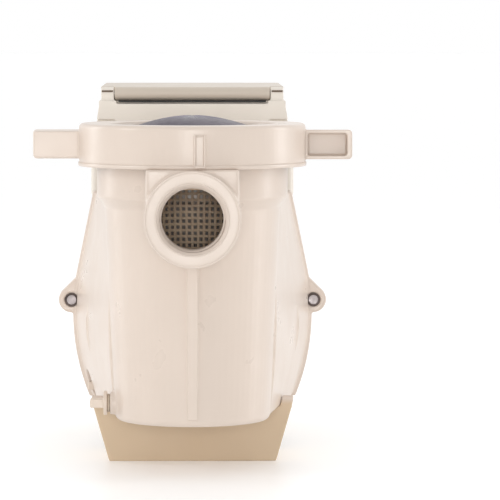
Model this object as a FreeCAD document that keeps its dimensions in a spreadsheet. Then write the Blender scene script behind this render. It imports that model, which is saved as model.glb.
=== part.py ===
"""Variable-speed pool pump: strainer pot, volute, sealed motor and keypad drive, as separate pieces.

Frame: +X across the pump, +Y from the suction port back along the shaft to the fan, +Z up.
The origin is at the middle of the footprint, on the ground. Every length is in millimetres.
"""

import FreeCAD, Part

import math
import os
import re

import Sketcher

Vector = FreeCAD.Vector
Rotation = FreeCAD.Rotation

# ------------------------------------------------------------------ driving dimensions

SIZES = [
    # whole pump
    ("pump_length", 612, "suction face to the back of the fan cover"),
    ("pump_height", 364, "ground to the top of the keypad cover"),
    ("shaft_height", 132, "ground to the shaft axis"),
    ("port_height", 248, "ground to the suction port axis"),
    ("running_gap", 0.3, "clearance between faces that move or seat loosely"),
    # strainer pot
    ("pot_setback", 122, "suction face to the pot axis"),
    ("pot_base_radius", 74, "outer radius of the pot at its floor"),
    ("pot_top_radius", 84, "outer radius of the pot under its neck"),
    ("pot_floor_height", 50, "ground to the underside of the pot"),
    ("pot_wall", 6, "wall of the pot and its rear chamber"),
    ("pot_floor_round", 6, "rounding under the pot"),
    ("neck_radius", 91, "outer radius of the neck that carries the clamp ring"),
    ("neck_length", 32, "neck below the clamp ring"),
    ("neck_ramp", 9, "height of the slope under the neck"),
    ("neck_bore", 82, "bore of the neck, which takes the basket rim"),
    ("ledge_bore", 76.5, "bore below the ledge that carries the basket"),
    ("rim_rise", 16, "top of the neck above the bottom of the clamp ring"),
    ("rib_width", 9.4, "width of the rib down the front of the pot"),
    ("rib_rise", 5.6, "height of that rib at its top"),
    # ports
    ("port_boss_radius", 44.8, "outer radius of the suction boss"),
    ("port_bore", 30, "radius of both threaded ports"),
    ("port_thread", 35, "depth of both threaded ports"),
    ("port_mouth", 4, "lead-in chamfer of both ports"),
    ("port_relief", 36.5, "radius of the passage behind each thread"),
    ("port_panel", 12, "setback of the flat panel above the suction boss"),
    ("discharge_setback", 277, "suction face to the discharge axis"),
    ("discharge_boss", 41, "outer radius of the discharge boss"),
    ("discharge_height", 324, "ground to the discharge face"),
    # wings between pot and volute
    ("wing_top", 258, "height of the top of the wings"),
    ("wing_base", 54, "height of the underside of the wings and the top of the foot"),
    ("wing_waist", 180, "height where each wing starts to curve in"),
    ("pot_waist_half", 79.8, "half width of the wings at the pot, at the waist"),
    ("wing_top_half", 97, "half width of the volute at its top"),
    ("wing_waist_half", 113.5, "half width of the volute at the waist"),
    ("wing_base_half", 101, "half width of the volute at its underside"),
    ("wing_round", 221, "radius of the curved lower side of the volute"),
    ("pot_side_round", 700, "radius of the curved lower side at the pot"),
    # volute casing
    ("casing_setback", 240, "suction face to the front of the volute casing"),
    ("casing_wall", 8, "front wall of the volute casing"),
    ("chamber_radius", 100, "radius of the volute chamber"),
    ("drum_wall", 6, "wall round the volute chamber"),
    ("flange_setback", 322, "suction face to the back of the volute flange"),
    ("flange_thickness", 14, "thickness of the volute flange"),
    ("flange_step", 3, "how far the flange stands out past the wings"),
    ("eye_bore", 36.5, "hole into the diffuser nose"),
    # flange bolts
    ("lug_half", 122, "half distance between the two side bolts"),
    ("lug_rise", 18, "height of the side bolts above the shaft"),
    ("lug_radius", 13, "radius of each bolt lug"),
    ("bolt_circle", 121, "radius of the four other bolts"),
    ("bolt_radius", 4.76, "radius of a flange bolt"),
    ("bolt_hole", 5.2, "radius of a bolt hole in the seal plate"),
    ("insert_radius", 7, "outer radius of a threaded insert"),
    ("washer_radius", 11, "radius of a flange washer"),
    ("washer_thickness", 2, "thickness of a flange washer"),
    # wet end internals
    ("diffuser_radius", 87, "outer radius of the diffuser"),
    ("diffuser_wall", 3, "wall of the diffuser"),
    ("nose_radius", 33.5, "outer radius of the diffuser nose"),
    ("impeller_radius", 78, "radius of the impeller"),
    ("impeller_eye", 29, "radius of the impeller eye"),
    ("impeller_width", 26, "width of the impeller over its shrouds"),
    ("impeller_hub", 14, "radius of the impeller hub"),
    ("shroud_thickness", 2.6, "thickness of each impeller shroud"),
    ("seal_plate_thickness", 12, "thickness of the seal plate"),
    ("pilot_depth", 9, "how far the seal plate reaches into the chamber"),
    ("seal_bore", 16, "bore for the stationary seal"),
    ("o_ring_radius", 2.4, "section radius of the large O-rings"),
    # clamp ring and lid
    ("ring_clearance", 2.5, "gap between the neck's bayonet tabs and the clamp ring"),
    ("ring_height", 38, "height of the clamp ring"),
    ("ring_gap", 3.2, "gap between the suction boss and the clamp ring"),
    ("ring_wall", 6.5, "wall of the clamp ring's skirt"),
    ("ring_opening", 78, "radius of the opening that shows the lid"),
    ("tab_height", 6, "height of the bayonet tabs"),
    ("tab_reach", 8, "how far the ring's tabs reach inward"),
    ("tab_angle", 30, "angle that each bayonet tab spans"),
    ("handle_half_span", 152.5, "pot axis to the tip of a handle"),
    ("handle_height", 28.4, "height of each handle on its pocket side"),
    ("handle_rise", 3.4, "bottom of a handle above the bottom of the ring"),
    ("handle_draft", 5, "draft of each handle towards its plain side, in degrees"),
    ("handle_thickness", 18, "thickness of each handle"),
    ("handle_rim", 3.6, "rim round the pocket of each handle"),
    ("dome_rise", 20.5, "rise of the lid's dome above its flange"),
    ("dome_radius", 76.5, "radius of the lid's dome at its foot"),
    ("lid_wall", 5, "wall of the lid's dome"),
    ("lid_flange", 8, "thickness of the lid's flange"),
    # basket
    ("basket_wall", 2.4, "wall of the basket"),
    ("basket_top_radius", 73, "outer radius of the basket under its rim"),
    ("basket_base_radius", 61, "outer radius of the basket at its floor"),
    ("basket_floor", 64, "ground to the underside of the basket"),
    ("basket_inlet", 38, "radius of the basket's inlet window"),
    ("slot_width", 6, "width of a basket slot"),
    # drain plugs
    ("plug_height", 67, "ground to the pot drain plug's axis"),
    ("plug_setback", 110, "suction face to the pot drain plug's axis"),
    ("plug_boss_radius", 11, "radius of a drain boss"),
    ("plug_boss_half", 79, "pump centre to the face of the pot's drain boss"),
    ("plug_shank", 6, "radius of a drain plug's shank"),
    ("plug_hole", 6.3, "radius of a drain hole"),
    ("plug_head_radius", 11.5, "radius of a drain plug's flange"),
    ("plug_head", 3.4, "thickness of a drain plug's flange"),
    ("plug_grip", 13, "length of a drain plug's wing grip"),
    ("plug_shank_length", 13, "length of a drain plug's shank"),
    ("plug_seal", 1.3, "section radius of a drain plug's O-ring"),
    ("volute_plug_rise", -66, "volute drain plug above the shaft"),
    ("volute_plug_face", 86, "pump centre to the floor of the volute drain pocket"),
    # motor
    ("motor_radius", 90, "radius over the cooling fins"),
    ("shell_radius", 84, "radius of the motor shell between fins"),
    ("shell_bore", 78, "bore of the motor shell"),
    ("fin_thickness", 2.4, "thickness of a cooling fin"),
    ("bell_length", 34, "length of the front end bell"),
    ("tail_length", 84, "back of the shell to the back of the fan cover"),
    ("rear_bell_length", 18, "length of the rear end bell"),
    ("shaft_radius", 8, "radius of the shaft at the impeller"),
    ("journal_radius", 10, "radius of the shaft at its bearings"),
    ("core_radius", 13, "radius of the shaft under the rotor"),
    ("bearing_radius", 23.5, "outer radius of a bearing"),
    ("bearing_width", 14, "width of a bearing"),
    ("rotor_radius", 42, "radius of the rotor core"),
    ("air_gap", 1.0, "gap between rotor and stator"),
    ("magnet_thickness", 4, "thickness of a rotor magnet"),
    ("stator_length", 92, "length of the stator core"),
    ("winding_length", 20, "overhang of the windings at each end"),
    ("fan_radius", 58, "radius of the cooling fan"),
    ("fan_width", 24, "width of the fan blades"),
    # fan cover
    ("cover_gap", 3.5, "gap between the cooling fins and the fan cover"),
    ("cover_wall", 2.5, "wall of the fan cover"),
    ("cover_overlap", 12, "how far the fan cover reaches over the shell"),
    ("cover_straight", 34, "straight part of the fan cover's side"),
    ("face_radius", 74, "radius of the fan cover's raised face"),
    ("face_step", 3, "how far that face stands out"),
    ("grille_radius", 62, "outer radius of the grille"),
    ("grille_hub", 27, "radius of the grille's plain centre"),
    ("grille_pitch", 12, "spacing of the grille holes"),
    ("grille_hole", 9.4, "side of a grille hole"),
    ("cover_screw_circle", 68, "radius of the four fan cover screws"),
    # feet
    ("foot_setback", 198, "suction face to the front of the wet end's foot"),
    ("foot_end", 300, "suction face to the back of the wet end's foot"),
    ("foot_top_half", 97.5, "half width of the foot at its top"),
    ("foot_base_half", 82, "half width of the foot on the ground"),
    ("foot_wall", 7, "wall of both feet"),
    ("gusset_height", 24, "how far the foot's gussets rise beside the pot"),
    ("gusset_lean", 4.5, "how far the gussets lean outward"),
    ("foot_plate", 8, "thickness of both base plates"),
    ("foot_hole", 5.25, "radius of the hold-down holes"),
    ("foot_hole_half", 52, "half distance between hold-down holes across the pump"),
    ("front_hole_setback", 270, "suction face to the front hold-down holes"),
    ("hole_spacing", 200, "distance from the front holes to the back holes"),
    ("motor_foot_half", 66, "half width of the motor foot"),
    ("motor_foot_setback", 412, "suction face to the front of the motor foot"),
    ("motor_foot_depth", 92, "length of the motor foot"),
    # drive
    ("drive_setback", 342, "suction face to the front of the drive"),
    ("drive_tail", 36, "back of the drive to the back of the fan cover"),
    ("drive_half", 103, "half width of the drive"),
    ("drive_floor_half", 93, "half width of the drive at its lower edge"),
    ("drive_floor_rise", 93, "lower edge of the drive above the shaft"),
    ("drive_shoulder_rise", 124, "top of the drive's taper above the shaft"),
    ("drive_split_rise", 169, "joint between drive base and case above the shaft"),
    ("drive_wall", 4, "wall of the drive base and case"),
    ("drive_corner", 7, "radius of the drive's upright corners"),
    ("saddle_gap", 11, "gap between motor fins and drive base"),
    ("ledge_height", 10, "height of the case's wide lower band"),
    ("case_waist_half", 98.5, "half width of the case above its ledge"),
    ("case_top_half", 95, "half width of the case at its top"),
    ("pocket_width", 21, "width of each corner pocket"),
    ("pocket_height", 20, "height of each corner pocket"),
    ("pocket_depth", 17, "depth of each corner pocket"),
    ("groove_half", 77, "half length of the finger groove under the cover"),
    ("groove_height", 3, "height of the finger groove"),
    ("groove_depth", 7, "depth of the finger groove"),
    ("panel_half", 74, "half width of the keypad panel"),
    ("panel_inset", 26, "keypad panel from the front and back of the case"),
    ("panel_thickness", 4, "thickness of the keypad panel"),
    ("lid_thickness", 13.5, "thickness of the keypad cover"),
    ("lid_half", 93, "half width of the keypad cover"),
    ("lid_skin", 3, "wall of the keypad cover"),
    ("hinge_pin_radius", 2, "radius of the keypad cover's hinge pins"),
    ("ear_inner", 79.5, "pump centre to the inner face of a hinge ear"),
    ("ear_width", 13.1, "width of a hinge ear"),
    ("button_radius", 6, "radius of a keypad button"),
    ("button_travel", 1.2, "travel of a keypad button"),
    ("button_rise", 1, "how far a pressed button stands above the panel"),
    ("button_pitch", 24, "spacing of the keypad buttons"),
    ("conduit_bore", 10.7, "radius of the conduit entry"),
    ("conduit_boss", 13.5, "outer radius of the conduit entry"),
    ("conduit_depth", 14, "length of the conduit entry, inward from the drive's side"),
]

BOLT_ANGLES = (57, 123, 237, 303)  # degrees round the shaft, from +X towards +Z
RAMP_COUNT = 4
FIN_COUNT = 40
VANE_COUNT = 7
BUTTONS = ("speed_button_1", "speed_button_2", "speed_button_3", "speed_button_4")

doc = FreeCAD.newDocument("pool_pump")
sheet = doc.addObject("Spreadsheet::Sheet", "Sizes")
for row, (alias, value, note) in enumerate(SIZES, start=1):
    sheet.set(f"A{row}", note)
    sheet.set(f"B{row}", str(value))
    sheet.setAlias(f"B{row}", alias)
doc.recompute()

# ------------------------------------------------------------------ helpers

ALIASES = {alias for alias, _, _ in SIZES}
TURNS = {
    "Z": Rotation(),
    "-Z": Rotation(Vector(1, 0, 0), 180),
    "Y": Rotation(Vector(1, 0, 0), -90),
    "-Y": Rotation(Vector(1, 0, 0), 90),
    "X": Rotation(Vector(0, 1, 0), 90),
    "-X": Rotation(Vector(0, 1, 0), -90),
}
pieces = {}


def bind(expression):
    """The expression with each size's name turned into a reference to its cell."""
    found = lambda m: "Sizes." + m.group(0) if m.group(0) in ALIASES else m.group(0)
    return re.sub(r"[a-z][a-z_0-9]*", found, str(expression))


def value(expression):
    """The number that an expression gives now."""
    return float(sheet.evalExpression(bind(expression)))


def set_sizes(obj, **properties):
    for name, expression in properties.items():
        obj.setExpression(name, bind(expression))


def put(obj, x="0", y="0", z="0", axis="Z"):
    """Places obj with its own +Z along axis and its origin at x, y, z."""
    obj.Placement = FreeCAD.Placement(Vector(), TURNS[axis])
    for name, expression in zip("xyz", (x, y, z)):
        if expression != "0":
            obj.setExpression(f".Placement.Base.{name}", bind(expression))
    return obj


def cylinder(name, radius, height, x="0", y="0", z="0", axis="Z"):
    obj = doc.addObject("Part::Cylinder", name)
    set_sizes(obj, Radius=radius, Height=height)
    return put(obj, x, y, z, axis)


def cone(name, radius_1, radius_2, height, x="0", y="0", z="0", axis="Z"):
    obj = doc.addObject("Part::Cone", name)
    set_sizes(obj, Radius1=radius_1, Radius2=radius_2, Height=height)
    return put(obj, x, y, z, axis)


def torus(name, major, minor, x="0", y="0", z="0", axis="Z"):
    obj = doc.addObject("Part::Torus", name)
    set_sizes(obj, Radius1=major, Radius2=minor)
    return put(obj, x, y, z, axis)


def sphere(name, radius, x="0", y="0", z="0"):
    obj = doc.addObject("Part::Sphere", name)
    set_sizes(obj, Radius=radius)
    return put(obj, x, y, z)


def box(name, low, high):
    """A box from one corner to the other, each given as three expressions."""
    obj = doc.addObject("Part::Box", name)
    spans = [f"({b}) - ({a})" for a, b in zip(low, high)]
    set_sizes(obj, Length=spans[0], Width=spans[1], Height=spans[2])
    return put(obj, *low)


def fuse(name, *objs):
    obj = doc.addObject("Part::MultiFuse", name)
    obj.Shapes = list(objs)
    obj.Refine = True
    return obj


def cut(name, base, *tools):
    tool = tools[0] if len(tools) == 1 else group(name + "_tools", *tools)
    obj = doc.addObject("Part::Cut", name)
    obj.Base, obj.Tool = base, tool
    obj.Refine = True
    return obj


def common(name, *objs):
    obj = doc.addObject("Part::MultiCommon", name)
    obj.Shapes = list(objs)
    return obj


def group(name, *objs):
    obj = doc.addObject("Part::Compound", name)
    obj.Links = list(objs)
    return obj


def rounded(name, base, radius, test):
    """base with a fillet on each edge whose two end points and middle pass test."""
    doc.recompute()
    edges = []
    for number, edge in enumerate(base.Shape.Edges, start=1):
        middle = edge.valueAt((edge.FirstParameter + edge.LastParameter) / 2)
        points = [v.Point for v in edge.Vertexes] + [middle]
        if all(test(p) for p in points):
            edges.append((number, value(radius), value(radius)))
    obj = doc.addObject("Part::Fillet", name)
    obj.Base = base
    obj.Edges = edges
    return obj


def draw(sketch, outline):
    """Draws a closed outline, anticlockwise. Each point is (x, y) or (x, y, radius), the radius
    being that of the arc to the next point. It bulges outward, or inward if the radius starts
    with a minus sign."""
    spots = [Vector(value(p[0]), value(p[1]), 0) for p in outline]
    count = len(outline)
    first, last = [1] * count, [2] * count
    for i, point in enumerate(outline):
        a, b = spots[i], spots[(i + 1) % count]
        if len(point) == 2:
            sketch.addGeometry(Part.LineSegment(a, b), False)
            continue
        inward = point[2].startswith("-")
        radius = value(point[2].lstrip("-"))
        if inward:
            a, b = b, a
            first[i], last[i] = 2, 1
        chord = b - a
        left = Vector(-chord.y, chord.x, 0).normalize()
        centre = (a + b) / 2 + left * math.sqrt(max(radius**2 - chord.Length**2 / 4, 0))
        start = math.atan2(a.y - centre.y, a.x - centre.x)
        end = math.atan2(b.y - centre.y, b.x - centre.x)
        circle = Part.Circle(centre, Vector(0, 0, 1), radius)
        sketch.addGeometry(Part.ArcOfCircle(circle, start, end), False)
    for i, point in enumerate(outline):
        after = (i + 1) % count
        sketch.addConstraint(Sketcher.Constraint("Coincident", i, last[i], after, first[after]))
        for kind, expression in (("DistanceX", point[0]), ("DistanceY", point[1])):
            held = Sketcher.Constraint(kind, -1, 1, i, first[i], value(expression))
            number = sketch.addConstraint(held)
            sketch.setExpression(f"Constraints[{number}]", bind(expression))
        if len(point) == 3:
            size = point[2].lstrip("-")
            number = sketch.addConstraint(Sketcher.Constraint("Radius", i, value(size)))
            sketch.setExpression(f"Constraints[{number}]", bind(size))


def start_body(name, plane, outline):
    body = doc.addObject("PartDesign::Body", name)
    sketch = body.newObject("Sketcher::SketchObject", name + "_sketch")
    support = [f for f in body.Origin.OriginFeatures if f.Role == plane]
    sketch.AttachmentSupport = [(support[0], "")]
    sketch.MapMode = "FlatFace"
    draw(sketch, outline)
    return body, sketch


def turned(name, outline, x="0", y="0", z="0", axis="Z", angle="360"):
    """A body turned about its own Z axis from an outline of (radius, height) points."""
    body, sketch = start_body(name, "XZ_Plane", outline)
    turn = body.newObject("PartDesign::Revolution", name + "_turn")
    turn.Profile = sketch
    turn.ReferenceAxis = (sketch, ["V_Axis"])
    turn.Angle = value(angle)
    if angle != "360":
        turn.setExpression("Angle", bind(angle))
        turn.Midplane = True
    return put(body, x, y, z, axis)


def padded(name, plane, outline, length, x="0", y="0", z="0", both=False):
    """A body padded from an outline: towards +Z, +Y or +X for the XY, XZ or YZ plane."""
    body, sketch = start_body(name, plane, outline)
    pad = body.newObject("PartDesign::Pad", name + "_pad")
    pad.Profile = sketch
    pad.setExpression("Length", bind(length))
    pad.Midplane = both
    pad.Reversed = plane == "XZ_Plane" and not both
    return put(body, x, y, z)


def polar(body, count):
    """Repeats the last feature of body round the body's Z axis."""
    last = body.Tip
    pattern = body.newObject("PartDesign::PolarPattern", body.Name + "_pattern")
    pattern.Originals = [last]
    axis = [f for f in body.Origin.OriginFeatures if f.Role == "Z_Axis"]
    pattern.Axis = (axis[0], [""])
    pattern.Angle = 360
    pattern.Occurrences = count
    body.Tip = pattern
    return pattern


def tube(name, inner, outer, length, x="0", y="0", z="0", axis="Z"):
    walls = [(inner, "0"), (outer, "0"), (outer, length), (inner, length)]
    return turned(name, walls, x, y, z, axis)


def ring_places(count, radius, first=0):
    """(x, z) expressions of count places round the shaft, at a radius."""
    turns = [first + 360 / count * i for i in range(count)]
    return [round_shaft(radius, turn) for turn in turns]


def round_shaft(radius, degrees):
    """(x, z) expressions of a place at a radius and an angle round the shaft."""
    x = f"({radius}) * cos({degrees} deg)"
    return x, f"shaft_height + ({radius}) * sin({degrees} deg)"


def keep(name, obj):
    """Names obj as one sub-part, to be written as parts/name.step."""
    obj.Label = name
    pieces[name] = obj
    return obj


def along(setback):
    """The Y of a distance behind the suction face."""
    return f"({setback}) - pump_length / 2"


def mirrored_outline(half):
    """An outline symmetric about its second axis, from its right half, bottom to top. A radius
    on a point is that of the arc to the next point, on both sides."""
    left = []
    for i in range(len(half) - 1, -1, -1):
        arc = half[i - 1][2:] if i > 0 else ()
        left.append((f"-({half[i][0]})", half[i][1], *arc))
    return half + left


# ------------------------------------------------------------------ levels and stations

FRONT = along("0")
POT_Y = along("pot_setback")
CASING_Y = along("casing_setback")
CHAMBER_Y = along("casing_setback + casing_wall")
FLANGE_Y = along("flange_setback")
DISCHARGE_Y = along("discharge_setback")
PLATE_BACK = "flange_setback + seal_plate_thickness"
DRAIN_Y = along("(casing_setback + casing_wall + flange_setback) / 2")
SHELL_FRONT = f"{PLATE_BACK} + bell_length"
SHELL_BACK = "pump_length - tail_length"
RING_BOTTOM = "port_height + port_boss_radius + ring_gap"
RING_RADIUS = "(neck_radius + tab_reach + ring_clearance + ring_wall)"
COVER_RADIUS = "(motor_radius + cover_gap + cover_wall)"
RIM_TOP = f"{RING_BOTTOM} + rim_rise"
NECK_FOOT = f"{RING_BOTTOM} - neck_length"
LID_BOTTOM = f"{RIM_TOP} + 0.5"
LID_TOP = f"{LID_BOTTOM} + lid_flange"
LEDGE = f"{RIM_TOP} - 25"
SPLIT = "shaft_height + drive_split_rise"
CASE_TOP = "pump_height - lid_thickness - 0.5"
DRIVE_BACK = "pump_length - drive_tail"
HINGE_Z = "pump_height - lid_thickness / 2"
HINGE_SETBACK = "drive_setback + lid_thickness / 2 + 2"
WATER_SIDE = "flange_setback - pilot_depth"

SIDE_BOLTS = [(f"{sign}lug_half", "shaft_height + lug_rise") for sign in ("", "-")]
BOLTS = SIDE_BOLTS + [round_shaft("bolt_circle", turn) for turn in BOLT_ANGLES]


def wing_half(grow):
    """Right half of the volute's outline, bottom to top, grown by a margin."""
    return [
        (f"wing_base_half + {grow}", f"wing_base - {grow} * 0.5", f"wing_round + {grow}"),
        (f"wing_waist_half + {grow}", "wing_waist"),
        (f"wing_top_half + {grow}", f"wing_top + {grow} * 0.5"),
    ]


def pot_half(grow):
    """Right half of the wings' outline at the pot axis, bottom to top."""
    return [
        (f"pot_base_radius + {grow}", f"wing_base - {grow}", f"pot_side_round + {grow}"),
        (f"pot_waist_half + {grow}", "wing_waist"),
        (f"pot_top_radius - 1 + {grow}", f"wing_top + {grow}"),
    ]


def section(name, half, y):
    """A closed sketch across the pump, at y."""
    sketch = doc.addObject("Sketcher::SketchObject", name)
    draw(sketch, mirrored_outline(half))
    return put(sketch, y=y, axis="-Y")


def loft(name, *sections):
    obj = doc.addObject("Part::Loft", name)
    obj.Sections = list(sections)
    obj.Solid, obj.Ruled = True, True
    return obj


def wing_body(name, grow):
    near = section(name + "_near", pot_half(grow), POT_Y)
    far = section(name + "_far", wing_half(grow), along("flange_setback - flange_thickness"))
    return loft(name, near, far)


def half_space(name, low_y, high_y):
    wide = ("-pump_length", low_y, "0"), ("pump_length", high_y, "2 * pump_height")
    return box(name, *wide)


def flange_outline(name, thickness, y):
    """The plate that the volute flange and the seal plate share, with its six lugs."""
    plate = padded(
        name + "_plate",
        "XZ_Plane",
        mirrored_outline(wing_half("flange_step")),
        thickness,
        y=y,
    )
    disc = cylinder(
        name + "_disc",
        "chamber_radius + drum_wall + 8",
        thickness,
        y=y,
        z="shaft_height",
        axis="Y",
    )
    lugs = [
        cylinder(f"{name}_lug_{i}", "lug_radius", thickness, x, y, z, "Y")
        for i, (x, z) in enumerate(BOLTS)
    ]
    for side in ("", "-"):
        web = [
            ("lug_half - 16", "lug_rise - lug_radius - 3"),
            ("lug_half - 4", "lug_rise - lug_radius + 0.5"),
            ("lug_half + 7", "lug_rise + lug_radius - 2"),
            ("lug_half - 11", "lug_rise + lug_radius + 16"),
            ("lug_half - 24", "lug_rise + lug_radius + 16"),
        ]
        if side:
            web = [(f"-({x})", z) for x, z in reversed(web)]
        lugs.append(padded(f"{name}_web{len(lugs)}", "XZ_Plane", web, thickness, y=y, z="shaft_height"))
    return fuse(name, plate, disc, *lugs)


# ------------------------------------------------------------------ wet end housings


def strainer_pot():
    height = f"{NECK_FOOT} - pot_floor_height"
    barrel = cone(
        "pot_barrel",
        "pot_base_radius",
        "pot_top_radius",
        height,
        y=POT_Y,
        z="pot_floor_height",
    )
    floor = value("pot_floor_height")
    barrel = rounded("pot_rounded", barrel, "pot_floor_round", lambda p: abs(p.z - floor) < 0.01)
    neck = turned(
        "pot_neck",
        [
            ("0", "-neck_ramp"),
            ("pot_top_radius", "-neck_ramp"),
            ("neck_radius", "0"),
            ("neck_radius", "neck_length + rim_rise"),
            ("0", "neck_length + rim_rise"),
        ],
        y=POT_Y,
        z=NECK_FOOT,
    )
    wings = common("pot_wings", wing_body("pot_wing_loft", "0"), half_space("pot_side", FRONT, CASING_Y))
    taper = "(pot_top_radius - pot_base_radius)"
    rib_top = "port_height - 38"
    rib = padded(
        "pot_rib",
        "YZ_Plane",
        [
            ("-pot_base_radius - 0.4", "pot_floor_height + pot_floor_round"),
            ("-pot_base_radius + 12", "pot_floor_height + pot_floor_round"),
            ("-pot_base_radius + 12", rib_top),
            (f"-pot_base_radius - {taper} * 0.74 - rib_rise", rib_top),
        ],
        "rib_width",
        y=POT_Y,
        both=True,
    )
    boss_room = cylinder(
        "boss_room",
        "port_boss_radius",
        "pot_setback",
        y=FRONT,
        z="port_height",
        axis="Y",
    )
    rib = cut("pot_rib_end", rib, boss_room)
    drain = cylinder(
        "drain_boss",
        "plug_boss_radius",
        "25",
        "-plug_boss_half",
        along("plug_setback"),
        "plug_height",
        "X",
    )
    ramps = [
        turned(
            f"ramp_{i}",
            [
                ("neck_radius - 1", f"{RIM_TOP} - 2 - tab_height"),
                ("neck_radius + tab_reach", f"{RIM_TOP} - 2 - tab_height"),
                ("neck_radius + tab_reach", f"{RIM_TOP} - 3.5"),
                ("neck_radius + tab_reach - 1.5", f"{RIM_TOP} - 2"),
                ("neck_radius - 1", f"{RIM_TOP} - 2"),
            ],
            y=POT_Y,
            angle="tab_angle",
        )
        for i in range(RAMP_COUNT)
    ]
    for i, ramp in enumerate(ramps):
        ramp.Placement.Rotation = Rotation(Vector(0, 0, 1), 45 + 360 / RAMP_COUNT * i)
    outside = fuse("pot_outside", barrel, neck, wings, rib, drain, *ramps)

    bore = cone(
        "pot_bore",
        "pot_base_radius - pot_wall",
        "ledge_bore",
        f"{LEDGE} - pot_floor_height - pot_wall",
        y=POT_Y,
        z="pot_floor_height + pot_wall",
    )
    throat = cylinder(
        "pot_throat",
        "ledge_bore",
        f"{RIM_TOP} - ({LEDGE}) + 5",
        y=POT_Y,
        z=f"{LEDGE} - 1",
    )
    mouth = cylinder("pot_mouth", "neck_bore", "60", y=POT_Y, z=LEDGE)
    chamber = common(
        "rear_chamber",
        wing_body("rear_chamber_loft", "-pot_wall"),
        half_space("chamber_side", FRONT, along("casing_setback + 1")),
    )
    drain_hole = cylinder(
        "drain_hole",
        "plug_hole",
        "40",
        "-plug_boss_half - 1",
        along("plug_setback"),
        "plug_height",
        "X",
    )
    groove = tube(
        "lid_groove",
        "(neck_bore + neck_radius) / 2 - o_ring_radius",
        "(neck_bore + neck_radius) / 2 + o_ring_radius",
        "10",
        y=POT_Y,
        z=f"{LID_BOTTOM} - 2 * o_ring_radius",
    )
    relief = cylinder("pot_relief", "port_relief", "pot_setback", y=FRONT, z="port_height", axis="Y")
    pot = cut("pot", outside, bore, throat, mouth, chamber, relief, drain_hole, groove)
    keep("strainer_pot", pot)


def suction_port():
    """The threaded boss and the flat panel above it, which end at the pot's surface."""
    boss = turned(
        "suction_boss",
        [
            ("0", "0"),
            ("port_boss_radius - 2", "0", "2"),
            ("port_boss_radius", "2"),
            ("port_boss_radius", "pot_setback - 60"),
            ("0", "pot_setback - 60"),
        ],
        y=FRONT,
        z="port_height",
        axis="Y",
    )
    panel = box(
        "suction_panel",
        ("-port_boss_radius + 1.6", along("port_panel"), "port_height"),
        ("port_boss_radius - 1.6", along("pot_setback - 60"), f"{RING_BOTTOM} - 2.5"),
    )
    edge = value("port_boss_radius") - 1.6
    front = value(along("port_panel"))
    panel = rounded(
        "panel_rounded", panel, "2", lambda p: abs(p.y - front) < 0.01 and (abs(abs(p.x) - edge) < 0.01)
    )
    suction = cylinder(
        "suction_bore",
        "port_bore",
        "pot_setback - 20",
        y=along("-1"),
        z="port_height",
        axis="Y",
    )
    lead = cone(
        "suction_lead",
        "port_bore + port_mouth",
        "port_bore",
        "port_mouth",
        y=FRONT,
        z="port_height",
        axis="Y",
    )
    relief = cylinder(
        "suction_relief",
        "port_relief",
        "pot_setback - port_thread - port_mouth - 30",
        y=along("port_thread + port_mouth"),
        z="port_height",
        axis="Y",
    )
    barrel = cone(
        "port_barrel",
        "pot_base_radius",
        "pot_top_radius",
        f"{NECK_FOOT} - pot_floor_height",
        y=POT_Y,
        z="pot_floor_height",
    )
    neck = turned(
        "port_neck",
        [
            ("0", "-neck_ramp"),
            ("pot_top_radius", "-neck_ramp"),
            ("neck_radius", "0"),
            ("neck_radius", "neck_length"),
            ("0", "neck_length"),
        ],
        y=POT_Y,
        z=NECK_FOOT,
    )
    block = fuse("port_block", boss, panel)
    keep("suction_port", cut("port", block, barrel, neck, suction, lead, relief))


def volute_casing():
    behind = half_space("casing_side", CASING_Y, FLANGE_Y)
    wings = common("casing_wings", wing_body("casing_wing_loft", "0"), behind)
    drum = cylinder(
        "casing_drum",
        "chamber_radius + drum_wall",
        "flange_setback - casing_setback",
        y=CASING_Y,
        z="shaft_height",
        axis="Y",
    )
    flange = flange_outline(
        "casing_flange",
        "flange_thickness",
        along("flange_setback - flange_thickness"),
    )
    outside = fuse("casing_outside", wings, drum, flange)

    chamber = cylinder(
        "volute_chamber",
        "chamber_radius",
        "flange_setback",
        y=CHAMBER_Y,
        z="shaft_height",
        axis="Y",
    )
    eye = cylinder(
        "volute_eye",
        "eye_bore",
        "3 * casing_wall",
        y=along("casing_setback - 1"),
        z="shaft_height",
        axis="Y",
    )
    duct = cylinder(
        "discharge_duct",
        "port_relief",
        "discharge_height - port_thread - port_mouth - shaft_height",
        y=DISCHARGE_Y,
        z="shaft_height",
    )
    duct_room = box(
        "duct_room",
        ("-2 * port_relief", along("casing_setback + casing_wall + 1"), "shaft_height"),
        ("2 * port_relief", along("flange_setback - 5"), "discharge_height"),
    )
    duct = common("duct_in_casing", duct, duct_room)
    drain = cylinder(
        "volute_drain_hole",
        "plug_hole",
        "60",
        "-volute_plug_face - 1",
        DRAIN_Y,
        "shaft_height + volute_plug_rise",
        "X",
    )
    pocket = cylinder(
        "volute_drain_pocket",
        "plug_head_radius + 4",
        "60",
        "-volute_plug_face",
        DRAIN_Y,
        "shaft_height + volute_plug_rise",
        "-X",
    )
    sockets = [
        cylinder(
            f"insert_socket_{i}",
            "insert_radius",
            "flange_thickness + 3",
            x,
            along("flange_setback - flange_thickness - 2"),
            z,
            "Y",
        )
        for i, (x, z) in enumerate(BOLTS)
    ]
    keep("volute_casing", cut("casing", outside, chamber, eye, duct, drain, pocket, *sockets))


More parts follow.
